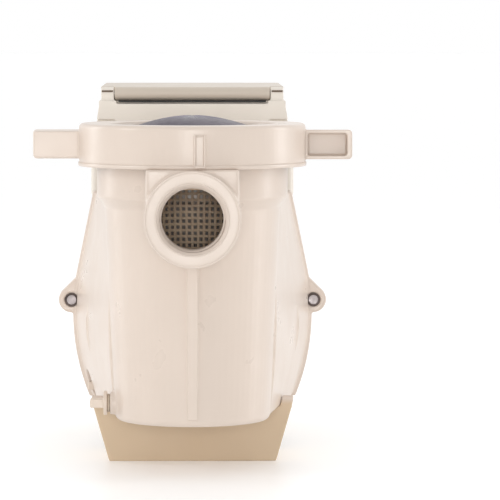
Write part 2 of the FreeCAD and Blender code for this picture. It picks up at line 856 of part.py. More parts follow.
def discharge_port():
    """The threaded boss on top of the volute."""
    boss = turned(
        "discharge_boss",
        [
            ("0", "wing_top"),
            ("discharge_boss", "wing_top"),
            ("discharge_boss", "discharge_height - 2", "2"),
            ("discharge_boss - 2", "discharge_height"),
            ("0", "discharge_height"),
        ],
        y=DISCHARGE_Y,
    )
    bore = cylinder(
        "discharge_bore",
        "port_bore",
        "port_thread + port_mouth + 1",
        y=DISCHARGE_Y,
        z="discharge_height - port_thread - port_mouth",
    )
    lead = cone(
        "discharge_lead",
        "port_bore",
        "port_bore + port_mouth",
        "port_mouth",
        y=DISCHARGE_Y,
        z="discharge_height - port_mouth",
    )
    relief = cylinder(
        "discharge_relief",
        "port_relief",
        "discharge_height - port_thread - port_mouth",
        y=DISCHARGE_Y,
    )
    flange = box(
        "flange_room",
        ("-discharge_boss", along("flange_setback - flange_thickness"), "shaft_height"),
        ("discharge_boss", FLANGE_Y, "wing_top + flange_step * 0.5"),
    )
    keep("discharge_port", cut("discharge", boss, bore, lead, relief, flange))


def pump_foot():
    outline = mirrored_outline([("foot_base_half", "0"), ("foot_top_half", "wing_base")])
    depth = "foot_end - foot_setback"
    block = padded("foot_block", "XZ_Plane", outline, depth, y=along("foot_setback"))
    cells = []
    cells.append(
        padded(
            "foot_cell_left",
            "XZ_Plane",
            [
                ("-foot_base_half + foot_wall", "foot_plate"),
                ("-28 - foot_wall / 2", "foot_plate"),
                ("-28 - foot_wall / 2", "wing_base + 5"),
                ("-foot_top_half + foot_wall", "wing_base + 5"),
            ],
            "foot_end",
            y=along("foot_setback + foot_wall"),
        )
    )
    cells.append(
        padded(
            "foot_cell_right",
            "XZ_Plane",
            [
                ("28 + foot_wall / 2", "foot_plate"),
                ("foot_base_half - foot_wall", "foot_plate"),
                ("foot_top_half - foot_wall", "wing_base + 5"),
                ("28 + foot_wall / 2", "wing_base + 5"),
            ],
            "foot_end",
            y=along("foot_setback + foot_wall"),
        )
    )
    cells.append(
        box(
            "foot_cell_middle",
            ("-28 + foot_wall / 2", along("foot_setback + foot_wall"), "foot_plate"),
            ("28 - foot_wall / 2", along("2 * foot_end"), "wing_base + 5"),
        )
    )
    drum = cylinder(
        "foot_drum_room",
        "chamber_radius + drum_wall + running_gap",
        "pump_length",
        y=along("casing_setback - running_gap"),
        z="shaft_height",
        axis="Y",
    )
    holes = [
        cylinder(
            f"foot_hole_{i}",
            "foot_hole",
            "foot_plate * 2",
            f"{sign}foot_hole_half",
            along("front_hole_setback"),
            "-foot_plate / 2",
        )
        for i, sign in enumerate(("", "-"))
    ]
    gussets = []
    for side, sign in (("right", ""), ("left", "-")):
        corners = [
            ("foot_top_half - 40", "wing_base - 1"),
            ("foot_top_half", "wing_base - 1"),
            ("foot_top_half", "wing_base"),
            ("foot_top_half + gusset_lean", "wing_base + gusset_height"),
            ("foot_top_half - 40", "wing_base + gusset_height"),
        ]
        if sign:
            corners = [(f"-({x})", z) for x, z in reversed(corners)]
        gussets.append(
            padded(f"foot_gusset_{side}", "XZ_Plane", corners, "foot_wall", y=along("foot_setback")),
        )
    wings = wing_body("foot_wing_room", "running_gap")
    shell = cut("foot_shell", block, *cells)
    keep("pump_foot", cut("foot", fuse("foot_blank", shell, *gussets), wings, drum, *holes))


# ------------------------------------------------------------------ lid, clamp ring and basket


def strainer_lid():
    crown = "(dome_radius ^ 2 + dome_rise ^ 2) / (2 * dome_rise)"
    inner = "dome_radius - lid_wall"
    vault = f"(({inner}) ^ 2 + dome_rise ^ 2) / (2 * dome_rise)"
    top = "lid_flange + dome_rise"
    foot = "lid_flange - lid_wall"
    lid = turned(
        "lid_body",
        [
            ("0", f"{top} - lid_wall", "-" + vault),
            (inner, foot),
            (inner, "0"),
            ("neck_radius - 1", "0"),
            ("neck_radius - 1", "lid_flange - 1"),
            ("neck_radius - 2", "lid_flange"),
            ("dome_radius", "lid_flange", crown),
            ("0", top),
        ],
        y=POT_Y,
        z=LID_BOTTOM,
    )
    keep("strainer_lid", lid)


def lid_o_ring():
    keep(
        "lid_o_ring",
        torus(
            "lid_seal",
            "(neck_bore + neck_radius) / 2",
            "o_ring_radius",
            y=POT_Y,
            z=f"{LID_BOTTOM} - o_ring_radius",
        ),
    )


def clamp_ring():
    skirt = f"{RING_RADIUS} - ring_wall"
    body = turned(
        "ring_body",
        [
            (skirt, "0"),
            (f"{RING_RADIUS} - 1.5", "0", "1.5"),
            (RING_RADIUS, "1.5"),
            (RING_RADIUS, "ring_height - 4", "4"),
            (f"{RING_RADIUS} - 4", "ring_height"),
            ("ring_opening + 3", "ring_height", "3"),
            ("ring_opening", "ring_height - 3"),
            ("ring_opening", f"{LID_TOP} - ({RING_BOTTOM}) + running_gap"),
            (skirt, f"{LID_TOP} - ({RING_BOTTOM}) + running_gap"),
        ],
        y=POT_Y,
        z=RING_BOTTOM,
    )
    tabs = [
        turned(
            f"ring_tab_{i}",
            [
                (f"{skirt} - tab_reach", "0.8"),
                (f"{skirt} + 1", "0.8"),
                (f"{skirt} + 1", "0.8 + tab_height"),
                (f"{skirt} - tab_reach", "0.8 + tab_height"),
            ],
            y=POT_Y,
            z=RING_BOTTOM,
            angle="tab_angle",
        )
        for i in range(RAMP_COUNT)
    ]
    for i, tab in enumerate(tabs):
        tab.Placement.Rotation = Rotation(Vector(0, 0, 1), 45 + 360 / RAMP_COUNT * i)
    mark = box(
        "ring_mark",
        ("-rib_width / 2", f"-{RING_RADIUS} - 2.2", "0"),
        ("rib_width / 2", f"-{RING_RADIUS} + 5", "ring_height - 9"),
    )
    far = value(f"-{RING_RADIUS} - 2.2")
    mark = rounded("ring_mark_rounded", mark, "1.6", lambda p: abs(p.y - far) < 0.01)
    put(mark, y=POT_Y, z=RING_BOTTOM)
    mark.Placement.Rotation = Rotation(Vector(0, 0, 1), 3.6)
    handles = [handle(side, turn) for side, turn in (("right", 0), ("left", 180))]
    keep("clamp_ring", fuse("ring", body, mark, *tabs, *handles))


def handle(side, turn):
    """One grip of the clamp ring: a flat bar with a pocket in one face."""
    root = f"{RING_RADIUS} - 4"
    bar = padded(
        f"{side}_bar",
        "XZ_Plane",
        [
            (root, "0"),
            ("handle_half_span - 4", "0", "4"),
            ("handle_half_span", "4"),
            ("handle_half_span", "handle_height - 4", "4"),
            ("handle_half_span - 4", "handle_height"),
            (root, "handle_height"),
        ],
        "handle_thickness",
        y="-handle_thickness / 2",
    )
    bar.Tip.TaperAngle = -value("handle_draft")
    bar.Tip.setExpression("TaperAngle", bind("-handle_draft"))
    pocket = padded(
        f"{side}_pocket",
        "XZ_Plane",
        [
            (f"{RING_RADIUS} + 2", "handle_rim"),
            ("handle_half_span - handle_rim - 4", "handle_rim", "2.5"),
            ("handle_half_span - handle_rim - 1.5", "handle_rim + 2.5"),
            ("handle_half_span - handle_rim - 1.5", "handle_height - handle_rim - 2.5", "2.5"),
            ("handle_half_span - handle_rim - 4", "handle_height - handle_rim"),
            (f"{RING_RADIUS} + 2", "handle_height - handle_rim"),
        ],
        "handle_thickness - 5",
        y="-handle_thickness / 2 - 1",
    )
    grip = cut(f"{side}_grip", bar, pocket)
    put(grip, y=POT_Y, z=f"{RING_BOTTOM} + handle_rise")
    grip.Placement.Rotation = Rotation(Vector(0, 0, 1), turn)
    return grip


def basket_slot(name, bottom, depth, degrees):
    """A box across the basket that cuts one slot in each side of it."""
    half, back = "basket_top_radius * 1.2", "slot_width / 2"
    slot = doc.addObject("Part::Box", name)
    set_sizes(slot, Length=f"2 * {half}", Width="slot_width", Height=depth)
    cos, sin = f"cos({degrees} deg)", f"sin({degrees} deg)"
    put(slot, f"{back} * {sin} - {half} * {cos}", f"{POT_Y} - {half} * {sin} - {back} * {cos}", bottom)
    slot.Placement.Rotation = Rotation(Vector(0, 0, 1), degrees)
    return slot


def strainer_basket():
    rise = f"{LEDGE} - basket_floor"
    shell = turned(
        "basket_shell",
        [
            ("0", "0"),
            ("basket_base_radius", "0"),
            ("basket_top_radius", rise),
            ("neck_bore - running_gap", rise),
            ("neck_bore - running_gap", f"{rise} + 3"),
            ("basket_top_radius - basket_wall", f"{rise} + 3"),
            ("basket_base_radius - basket_wall", "basket_wall"),
            ("0", "basket_wall"),
        ],
        y=POT_Y,
        z="basket_floor",
    )
    bridge = box(
        "basket_bridge",
        ("-basket_top_radius", f"{POT_Y} - 7", f"{LEDGE}"),
        ("basket_top_radius", f"{POT_Y} + 7", f"{LEDGE} + 3"),
    )
    inlet = cylinder(
        "basket_inlet_cut",
        "basket_inlet",
        "pot_setback",
        y=FRONT,
        z="port_height",
        axis="Y",
    )
    slots = []
    for tier in range(3):
        bottom = f"basket_floor + 12 + {tier} * ({rise} - 40) / 3"
        depth = f"({rise} - 40) / 3 - 6"
        slots += [basket_slot(f"basket_slot_{tier}_{i}", bottom, depth, 20 * i) for i in range(9)]
    shell = cut("basket_cut", shell, inlet, *slots)
    keep("strainer_basket", fuse("basket", shell, bridge))


# ------------------------------------------------------------------ drain plugs


def drain_plug(name, face, y, z):
    """A winged plug and its O-ring, in a boss whose face looks towards -X."""
    seal = "2 * plug_seal"
    shank = cylinder(
        name + "_shank",
        "plug_shank",
        f"plug_shank_length + {seal}",
        f"-({face}) - {seal}",
        y,
        z,
        "X",
    )
    head = cylinder(name + "_head", "plug_head_radius", "plug_head", f"-({face}) - {seal}", y, z, "-X")
    grip = box(
        name + "_grip",
        (f"-({face}) - {seal} - plug_head - plug_grip", f"{y} - plug_head_radius * 0.8", f"{z} - 3.8"),
        (f"-({face}) - {seal} - plug_head + 0.5", f"{y} + plug_head_radius * 0.8", f"{z} + 3.8"),
    )
    end = value(f"-({face}) - {seal} - plug_head - plug_grip")
    grip = rounded(name + "_grip_rounded", grip, "1.6", lambda p: abs(p.x - end) < 0.01)
    keep(name, fuse(name + "_body", shank, head, grip))
    ring = torus(
        name + "_seal",
        "plug_shank + plug_seal + 0.2",
        "plug_seal",
        f"-({face}) - plug_seal",
        y,
        z,
        "X",
    )
    keep(name.replace("plug", "o_ring"), ring)


# ------------------------------------------------------------------ wet end internals

IMPELLER_BACK = "flange_setback - 24"
IMPELLER_FRONT = f"{IMPELLER_BACK} - impeller_width"


def diffuser():
    front = "casing_setback + casing_wall + 6"
    length = f"{WATER_SIDE} - ({front})"
    cup = turned(
        "diffuser_cup",
        [
            ("nose_radius - diffuser_wall", f"-({front}) + casing_setback + 1"),
            ("nose_radius", f"-({front}) + casing_setback + 1"),
            ("nose_radius", "0"),
            ("diffuser_radius", "0"),
            ("diffuser_radius", length),
            ("diffuser_radius - diffuser_wall", length),
            ("diffuser_radius - diffuser_wall", "diffuser_wall"),
            ("nose_radius - diffuser_wall", "diffuser_wall"),
        ],
        y=along(front),
        z="shaft_height",
        axis="Y",
    )
    tools = []
    for i in range(8):
        window = cylinder(
            f"diffuser_window_{i}",
            "8",
            "20",
            *place_round("diffuser_radius - 10", 22.5 + 45 * i, "flange_setback - pilot_depth - 14"),
        )
        window.Placement.Rotation = Rotation(Vector(0, 1, 0), -(22.5 + 45 * i)).multiply(TURNS["X"])
        tools.append(window)
    keep("diffuser", cut("diffuser_body", cup, *tools))
    keep(
        "diffuser_o_ring",
        torus(
            "diffuser_seal",
            "(nose_radius + eye_bore) / 2",
            "(eye_bore - nose_radius) / 2",
            y=along("casing_setback + casing_wall / 2"),
            z="shaft_height",
            axis="Y",
        ),
    )


def place_round(radius, degrees, setback):
    """(x, y, z) expressions of a place round the shaft, at a distance behind the suction face."""
    x, z = round_shaft(radius, degrees)
    return x, along(setback), z


def impeller():
    hub = tube(
        "impeller_hub_body",
        "shaft_radius + 0.05",
        "impeller_hub",
        "impeller_width + 6",
        y=along(f"{IMPELLER_FRONT}"),
        z="shaft_height",
        axis="Y",
    )
    back = tube(
        "impeller_back",
        "impeller_hub - 2",
        "impeller_radius",
        "shroud_thickness",
        y=along(f"{IMPELLER_BACK} - shroud_thickness"),
        z="shaft_height",
        axis="Y",
    )
    front = tube(
        "impeller_front",
        "impeller_eye",
        "impeller_radius",
        "shroud_thickness",
        y=along(IMPELLER_FRONT),
        z="shaft_height",
        axis="Y",
    )
    eye = tube(
        "impeller_eye_ring",
        "impeller_eye - 2",
        "impeller_eye + 1",
        "9",
        y=along(f"{IMPELLER_FRONT} - 6"),
        z="shaft_height",
        axis="Y",
    )
    vanes = []
    for i in range(VANE_COUNT):
        blade = vane(f"impeller_vane_{i}", i * 360 / VANE_COUNT)
        vanes.append(blade)
    keep("impeller", fuse("impeller_body", hub, back, front, eye, *vanes))


def vane(name, degrees):
    """One backward-curved impeller vane, as a curved strip between the shrouds."""
    sweep = "impeller_radius * 0.62"
    ring = tube(name + "_arc", f"{sweep} - 2", sweep, "impeller_width - 1", axis="Y")
    window = box(
        name + "_window",
        ("0", "-1", "0"),
        ("impeller_radius", "impeller_width", "impeller_radius"),
    )
    strip = common(name, ring, window)
    turn = Rotation(Vector(0, 1, 0), degrees)
    centre = turn.multVec(
        Vector(value("impeller_hub - 2"), 0, -value(sweep) + value("impeller_hub") * 0.5),
    )
    strip.Placement = FreeCAD.Placement(
        centre + Vector(0, value(along(f"{IMPELLER_FRONT} + 0.5")), value("shaft_height")),
        turn,
    )
    disc = cylinder(
        name + "_disc",
        "impeller_radius - 0.5",
        "impeller_width",
        y=along(IMPELLER_FRONT),
        z="shaft_height",
        axis="Y",
    )
    return common(name + "_trimmed", strip, disc)


def wet_end_small_parts():
    head = cylinder(
        "impeller_screw_head",
        "7",
        "4",
        y=along(f"{IMPELLER_FRONT} - 4"),
        z="shaft_height",
        axis="Y",
    )
    shank = cylinder(
        "impeller_screw_shank",
        "2.4",
        "20",
        y=along(f"{IMPELLER_FRONT} - 1"),
        z="shaft_height",
        axis="Y",
    )
    slot = box(
        "impeller_screw_slot",
        ("-8", along(f"{IMPELLER_FRONT} - 5"), "shaft_height - 0.8"),
        ("8", along(f"{IMPELLER_FRONT} - 2.4"), "shaft_height + 0.8"),
    )
    keep("impeller_screw", cut("impeller_screw_body", fuse("impeller_screw_blank", head, shank), slot))
    seat = turned(
        "seal_seat_body",
        [
            ("shaft_radius + 3", "0"),
            ("seal_bore - 2", "0"),
            ("seal_bore - 2", "2"),
            ("seal_bore", "2"),
            ("seal_bore", "9"),
            ("shaft_radius + 3", "9"),
        ],
        y=along("flange_setback - 2"),
        z="shaft_height",
        axis="Y",
    )
    keep("seal_seat", seat)
    face = f"{IMPELLER_BACK} + 6"
    head_length = f"flange_setback - 2 - ({face}) - 0.02"
    rotating = turned(
        "seal_head_body",
        [
            ("shaft_radius + 0.1", "0"),
            ("seal_bore + 1", "0"),
            ("seal_bore + 1", "5"),
            ("seal_bore - 1", "6"),
            ("seal_bore - 1", f"{head_length} - 3"),
            ("seal_bore - 3", f"{head_length} - 3"),
            ("seal_bore - 3", head_length),
            ("shaft_radius + 0.1", head_length),
        ],
        y=along(face),
        z="shaft_height",
        axis="Y",
    )
    keep("seal_head", rotating)


def seal_plate():
    plate = flange_outline("seal_flange", "seal_plate_thickness", FLANGE_Y)
    pilot = tube(
        "seal_pilot",
        "diffuser_radius - 5",
        "chamber_radius - 0.2",
        "pilot_depth + 1",
        y=along(WATER_SIDE),
        z="shaft_height",
        axis="Y",
    )
    web = tube(
        "seal_web",
        "shaft_radius + 3",
        "chamber_radius - 10",
        "6",
        y=along("flange_setback"),
        z="shaft_height",
        axis="Y",
    )
    hub = tube(
        "seal_hub",
        "shaft_radius + 2",
        "seal_bore + 5",
        "9",
        y=along("flange_setback"),
        z="shaft_height",
        axis="Y",
    )
    outside = fuse("seal_plate_blank", plate, pilot, web, hub)
    dish = tube(
        "seal_dish",
        "seal_bore + 12",
        "diffuser_radius - 3",
        "7",
        y=along("flange_setback + 7"),
        z="shaft_height",
        axis="Y",
    )
    sling = cylinder(
        "slinger_room",
        "shaft_radius + 11",
        "5",
        y=along(f"{PLATE_BACK} - 3"),
        z="shaft_height",
        axis="Y",
    )
    seat = cylinder(
        "seal_seat_bore",
        "seal_bore",
        "7 + 1",
        y=along("flange_setback - 1"),
        z="shaft_height",
        axis="Y",
    )
    hole = cylinder(
        "seal_shaft_hole",
        "shaft_radius + 2.5",
        "40",
        y=along("flange_setback - 5"),
        z="shaft_height",
        axis="Y",
    )
    groove = tube(
        "seal_groove",
        "chamber_radius - 2 * o_ring_radius",
        "chamber_radius + 1",
        "2 * o_ring_radius",
        y=along("flange_setback - 7"),
        z="shaft_height",
        axis="Y",
    )
    holes = [
        cylinder(
            f"seal_bolt_hole_{i}",
            "bolt_hole",
            "seal_plate_thickness + 2",
            x,
            along("flange_setback - 1"),
            z,
            "Y",
        )
        for i, (x, z) in enumerate(BOLTS)
    ]
    keep("seal_plate", cut("seal_plate_body", outside, dish, sling, seat, hole, groove, *holes))
    keep(
        "seal_plate_o_ring",
        torus(
            "seal_plate_seal",
            "chamber_radius - o_ring_radius",
            "o_ring_radius - 0.01",
            y=along("flange_setback - 7 + o_ring_radius"),
            z="shaft_height",
            axis="Y",
        ),
    )


def flange_fasteners():
    bolts, washers, inserts = [], [], []
    back = PLATE_BACK
    for i, (x, z) in enumerate(BOLTS):
        shank = cylinder(
            f"bolt_shank_{i}",
            "bolt_radius",
            "seal_plate_thickness + flange_thickness + 4.5",
            x,
            along(f"{back} - seal_plate_thickness - flange_thickness - 1.5"),
            z,
            "Y",
        )
        head = hexagon(
            f"bolt_head_{i}",
            "bolt_radius * 1.7",
            "5",
            x,
            along(f"{back} + washer_thickness"),
            z,
        )
        bolts.append(fuse(f"bolt_{i}", shank, head))
        washers.append(
            tube(
                f"washer_{i}",
                "bolt_hole",
                "washer_radius",
                "washer_thickness",
                x,
                along(back),
                z,
                "Y",
            ),
        )
        inserts.append(
            tube(
                f"insert_{i}",
                "bolt_radius + 0.05",
                "insert_radius",
                "flange_thickness",
                x,
                along("flange_setback - flange_thickness"),
                z,
                "Y",
            ),
        )
    keep("flange_bolts", group("flange_bolt_set", *bolts))
    keep("flange_washers", group("washer_set", *washers))
    keep("threaded_inserts", group("insert_set", *inserts))


def hexagon(name, radius, height, x, y, z):
    """A hexagonal bar along +Y."""
    prism = doc.addObject("Part::Prism", name)
    prism.Polygon = 6
    set_sizes(prism, Circumradius=radius, Height=height)
    return put(prism, x, y, z, "Y")


# ------------------------------------------------------------------ motor


def motor_shaft():
    nose = f"{IMPELLER_FRONT} + 3"
    front_bearing = f"{PLATE_BACK} + 12"
    rear_bearing = f"{SHELL_BACK} + 1"
    tail = f"{SHELL_BACK} + rear_bell_length + 42"
    shaft = turned(
        "shaft_body",
        [
            ("0", "0"),
            ("shaft_radius", "0"),
            ("shaft_radius", f"{front_bearing} - 2 - ({nose})"),
            ("journal_radius", f"{front_bearing} - 2 - ({nose})"),
            ("journal_radius", f"{front_bearing} + bearing_width - ({nose})"),
            ("core_radius", f"{front_bearing} + bearing_width - ({nose})"),
            ("core_radius", f"{rear_bearing} - ({nose})"),
            ("journal_radius", f"{rear_bearing} - ({nose})"),
            ("journal_radius", f"{rear_bearing} + bearing_width - ({nose})"),
            ("shaft_radius", f"{rear_bearing} + bearing_width - ({nose})"),
            ("shaft_radius", f"{tail} - ({nose})"),
            ("0", f"{tail} - ({nose})"),
        ],
        y=along(nose),
        z="shaft_height",
        axis="Y",
    )
    thread = cylinder("shaft_thread", "2.45", "20", y=along(f"{nose} - 1"), z="shaft_height", axis="Y")
    keep("motor_shaft", cut("shaft", shaft, thread))
    for name, start in (("front", front_bearing), ("rear", rear_bearing)):
        bearing(name, start)


def bearing(name, start):
    """A ball bearing as two nodes: the outer race, and the inner race with its balls."""
    race = "(journal_radius + bearing_radius) / 2"
    ball = "(bearing_radius - journal_radius) * 0.26"
    middle = along(f"{start} + bearing_width / 2")
    outer = tube(
        f"{name}_outer_blank",
        "bearing_radius - 4",
        "bearing_radius",
        "bearing_width",
        y=along(start),
        z="shaft_height",
        axis="Y",
    )
    inner = tube(
        f"{name}_inner_blank",
        "journal_radius",
        "journal_radius + 4",
        "bearing_width",
        y=along(start),
        z="shaft_height",
        axis="Y",
    )
    track = torus(f"{name}_track", race, f"{ball} + 0.05", y=middle, z="shaft_height", axis="Y")
    keep(f"{name}_bearing_outer", cut(f"{name}_outer_race", outer, track))
    races = cut(
        f"{name}_inner_race",
        inner,
        torus(f"{name}_inner_track", race, f"{ball} + 0.05", y=middle, z="shaft_height", axis="Y"),
    )
    balls = [
        sphere(f"{name}_ball_{i}", ball, x, middle, z)
        for i, (x, z) in enumerate(ring_places(8, race))
    ]
    keep(f"{name}_bearing_inner", group(f"{name}_inner_set", races, *balls))


def motor_electrics():
    middle = f"(({SHELL_FRONT}) + ({SHELL_BACK})) / 2"
    start = f"{middle} - stator_length / 2"
    bore = "rotor_radius + magnet_thickness + air_gap"
    stator = tube(
        "stator_blank",
        bore,
        "shell_bore",
        "stator_length",
        y=along(start),
        z="shaft_height",
        axis="Y",
    )
    slots = [
        cylinder(
            f"stator_slot_{i}",
            "4.6",
            "stator_length + 2",
            *place_round(f"{bore} + 12", 15 + 30 * i, f"{start} - 1"),
            "Y",
        )
        for i in range(12)
    ]
    keep("stator_core", cut("stator", stator, *slots))
    coils = []
    for i in range(12):
        x, z = round_shaft(f"{bore} + 12", 15 + 30 * i)
        coils.append(
            cylinder(f"coil_bar_{i}", "4.4", "stator_length + 4", x, along(f"{start} - 2"), z, "Y"),
        )
    for side, begin in (
        ("front", f"{start} - winding_length + 1.5"),
        ("rear", f"{start} + stator_length"),
    ):
        coils.append(
            turned(
                f"{side}_winding",
                [
                    (f"{bore} + 3", "0"),
                    ("shell_bore - 7", "0"),
                    ("shell_bore - 4", "3"),
                    ("shell_bore - 4", "winding_length - 3"),
                    ("shell_bore - 7", "winding_length - 1.5"),
                    (f"{bore} + 3", "winding_length - 1.5"),
                ],
                y=along(begin),
                z="shaft_height",
                axis="Y",
            )
        )
    keep("stator_windings", fuse("windings", *coils))
    core = tube(
        "rotor_blank",
        "core_radius + 0.02",
        "rotor_radius",
        "stator_length",
        y=along(start),
        z="shaft_height",
        axis="Y",
    )
    keep("rotor_core", core)
    magnets = []
    for i in range(6):
        magnet = turned(
            f"magnet_{i}",
            [
                ("rotor_radius", "0"),
                ("rotor_radius + magnet_thickness", "0"),
                ("rotor_radius + magnet_thickness", "stator_length"),
                ("rotor_radius", "stator_length"),
            ],
            y=along(start),
            z="shaft_height",
            axis="Y",
            angle="54",
        )
        magnet.Placement.Rotation = Rotation(Vector(0, 1, 0), 60 * i).multiply(TURNS["Y"])
        magnets.append(magnet)
    keep("rotor_magnets", group("magnet_set", *magnets))


def motor_castings():
    bell = turned(
        "front_bell_body",
        [
            ("shaft_radius + 4", "0"),
            ("motor_radius - 3", "0"),
            ("motor_radius", "3"),
            ("motor_radius", "bell_length"),
            ("shell_bore - 2", "bell_length"),
            ("shell_bore - 2", "10"),
            ("bearing_radius + 5", "10"),
            ("bearing_radius + 5", "28"),
            ("bearing_radius", "28"),
            ("bearing_radius", "12"),
            ("shaft_radius + 4", "12"),
        ],
        y=along(PLATE_BACK),
        z="shaft_height",
        axis="Y",
    )
    pockets = [
        cylinder(
            f"bell_pocket_{i}",
            "9",
            "bell_length",
            *place_round("motor_radius + 2", 45 + 90 * i, f"{PLATE_BACK} + 8"),
            "Y",
        )
        for i in range(4)
    ]
    keep("front_end_bell", cut("front_bell", bell, *pockets))

    length = f"({SHELL_BACK}) - ({SHELL_FRONT})"
    shell, sketch = start_body(
        "shell",
        "XZ_Plane",
        [("shell_bore", "0"), ("shell_radius", "0"), ("shell_radius", length), ("shell_bore", length)],
    )
    turn = shell.newObject("PartDesign::Revolution", "shell_turn")
    turn.Profile = sketch
    turn.ReferenceAxis = (sketch, ["V_Axis"])
    turn.Angle = 360
    fin = shell.newObject("Sketcher::SketchObject", "fin_sketch")
    support = [f for f in shell.Origin.OriginFeatures if f.Role == "XY_Plane"]
    fin.AttachmentSupport = [(support[0], "")]
    fin.MapMode = "FlatFace"
    half = "fin_thickness / 2"
    draw(
        fin,
        [
            ("shell_radius - 1", f"-{half}"),
            ("motor_radius - 0.02", f"-{half} * 0.7"),
            ("motor_radius - 0.02", f"{half} * 0.7"),
            ("shell_radius - 1", half),
        ],
    )
    pad = shell.newObject("PartDesign::Pad", "fin_pad")
    pad.Profile = fin
    pad.setExpression("Length", bind(length))
    polar(shell, FIN_COUNT)
    put(shell, y=along(SHELL_FRONT), z="shaft_height", axis="Y")
    keep("motor_shell", shell)

    rear = turned(
        "rear_bell_body",
        [
            ("journal_radius + 2", "bearing_width + 1"),
            ("journal_radius + 2", "rear_bell_length"),
            ("shell_radius", "rear_bell_length"),
            ("shell_radius", "0"),
            ("bearing_radius", "0"),
            ("bearing_radius", "bearing_width + 1"),
        ][::-1],
        y=along(SHELL_BACK),
        z="shaft_height",
        axis="Y",
    )
    face = "pump_length - face_step - cover_wall"
    posts = [
        cylinder(
            f"cover_post_{i}",
            "4.5",
            f"{face} - 2 - ({SHELL_BACK}) - 6",
            x,
            along(f"{SHELL_BACK} + 6"),
            z,
            "Y",
        )
        for i, (x, z) in enumerate(ring_places(4, "cover_screw_circle"))
    ]
    pilots = [
        cylinder(f"post_pilot_{i}", "2.05", "20", x, along(f"{face} - 20"), z, "Y")
        for i, (x, z) in enumerate(ring_places(4, "cover_screw_circle"))
    ]
    keep("rear_end_bell", cut("rear_bell", fuse("rear_bell_blank", rear, *posts), *pilots))

    slinger = turned(
        "slinger",
        [
            ("shaft_radius + 0.02", "0"),
            ("shaft_radius + 9", "0"),
            ("shaft_radius + 9", "1.2"),
            ("shaft_radius + 4", "2.4"),
            ("shaft_radius + 0.02", "2.4"),
        ],
        y=along(f"{PLATE_BACK} - 2.7"),
        z="shaft_height",
        axis="Y",
    )
    keep("shaft_slinger", slinger)


def shaft_plate(name, inner, outer, thickness, width, setback, degrees):
    """A flat plate that stands out from the shaft, from one radius to another."""
    plate = doc.addObject("Part::Box", name)
    set_sizes(plate, Length=f"({outer}) - ({inner})", Width=width, Height=thickness)
    cos, sin = f"cos({degrees} deg)", f"sin({degrees} deg)"
    x = f"({inner}) * {cos} + ({thickness}) / 2 * {sin}"
    z = f"shaft_height + ({inner}) * {sin} - ({thickness}) / 2 * {cos}"
    put(plate, x, along(setback), z)
    plate.Placement.Rotation = Rotation(Vector(0, 1, 0), -degrees)
    return plate


def cooling_fan():
    start = f"{SHELL_BACK} + rear_bell_length + 8"
    hub = tube(
        "fan_hub",
        "shaft_radius + 0.05",
        "20",
        "fan_width",
        y=along(start),
        z="shaft_height",
        axis="Y",
    )
    disc = tube("fan_disc", "18", "fan_radius", "2.5", y=along(start), z="shaft_height", axis="Y")
    blades = []
    for i in range(9):
        blades.append(
            shaft_plate(f"fan_blade_{i}", "17", "fan_radius - 0.5", "2.4", "fan_width", start, 40 * i),
        )
    keep("cooling_fan", fuse("fan", hub, disc, *blades))


def fan_cover():
    """A spun cover with a flat face, square grille holes, a centre hole and four screw holes."""
    front = f"{SHELL_BACK} - cover_overlap"
    depth = f"pump_length - ({front})"
    side = f"{COVER_RADIUS} - cover_wall"
    body = turned(
        "cover_shell",
        [
            (side, "0"),
            (COVER_RADIUS, "0"),
            (COVER_RADIUS, "cover_straight", "pump_length * 0.09"),
            ("face_radius + 3", f"{depth} - face_step"),
            ("face_radius", f"{depth} - face_step"),
            ("face_radius - 1", depth),
            ("0", depth),
            ("0", f"{depth} - cover_wall"),
            ("face_radius - 1 - cover_wall", f"{depth} - cover_wall"),
            ("face_radius - cover_wall", f"{depth} - face_step - cover_wall"),
            ("face_radius", f"{depth} - face_step - cover_wall - 1"),
            (side, "cover_straight - 2"),
        ],
        y=along(front),
        z="shaft_height",
        axis="Y",
    )
    reach = int(value("grille_radius / grille_pitch")) + 1
    squares = []
    for i in range(-reach, reach + 1):
        for j in range(-reach, reach + 1):
            far = math.hypot(i, j) * value("grille_pitch")
            if far - value("grille_hole") * 0.6 > value("grille_radius"):
                continue
            if far + value("grille_hole") * 0.6 < value("grille_hub"):
                continue
            x, z = f"{i} * grille_pitch", f"shaft_height + {j} * grille_pitch"
            squares.append(
                box(
                    f"grille_{i + reach}_{j + reach}",
                    (f"{x} - grille_hole / 2", along("pump_length - 12"), f"{z} - grille_hole / 2"),
                    (f"{x} + grille_hole / 2", along("pump_length + 2"), f"{z} + grille_hole / 2"),
                )
            )
    field = tube(
        "grille_field",
        "grille_hub",
        "grille_radius",
        "20",
        y=along("pump_length - 15"),
        z="shaft_height",
        axis="Y",
    )
    holes = doc.addObject("Part::Common", "grille_holes")
    holes.Base, holes.Tool = group("grille_squares", *squares), field
    centre = cylinder(
        "cover_centre_hole",
        "5",
        "20",
        y=along("pump_length - 15"),
        z="shaft_height",
        axis="Y",
    )
    screws = [
        cylinder(f"cover_screw_hole_{i}", "2.9", "20", x, along("pump_length - 15"), z, "Y")
        for i, (x, z) in enumerate(ring_places(4, "cover_screw_circle"))
    ]
    keep("fan_cover", cut("cover", body, holes, centre, *screws))
    fixings = []
    for i, (x, z) in enumerate(ring_places(4, "cover_screw_circle")):
        head = cylinder(f"cover_screw_head_{i}", "2.8", "2.2", x, along("pump_length - 4.6"), z, "Y")
        shank = cylinder(f"cover_screw_shank_{i}", "2", "14", x, along("pump_length - 18"), z, "Y")
        fixings.append(fuse(f"cover_screw_{i}", head, shank))
    keep("fan_cover_screws", group("cover_screw_set", *fixings))


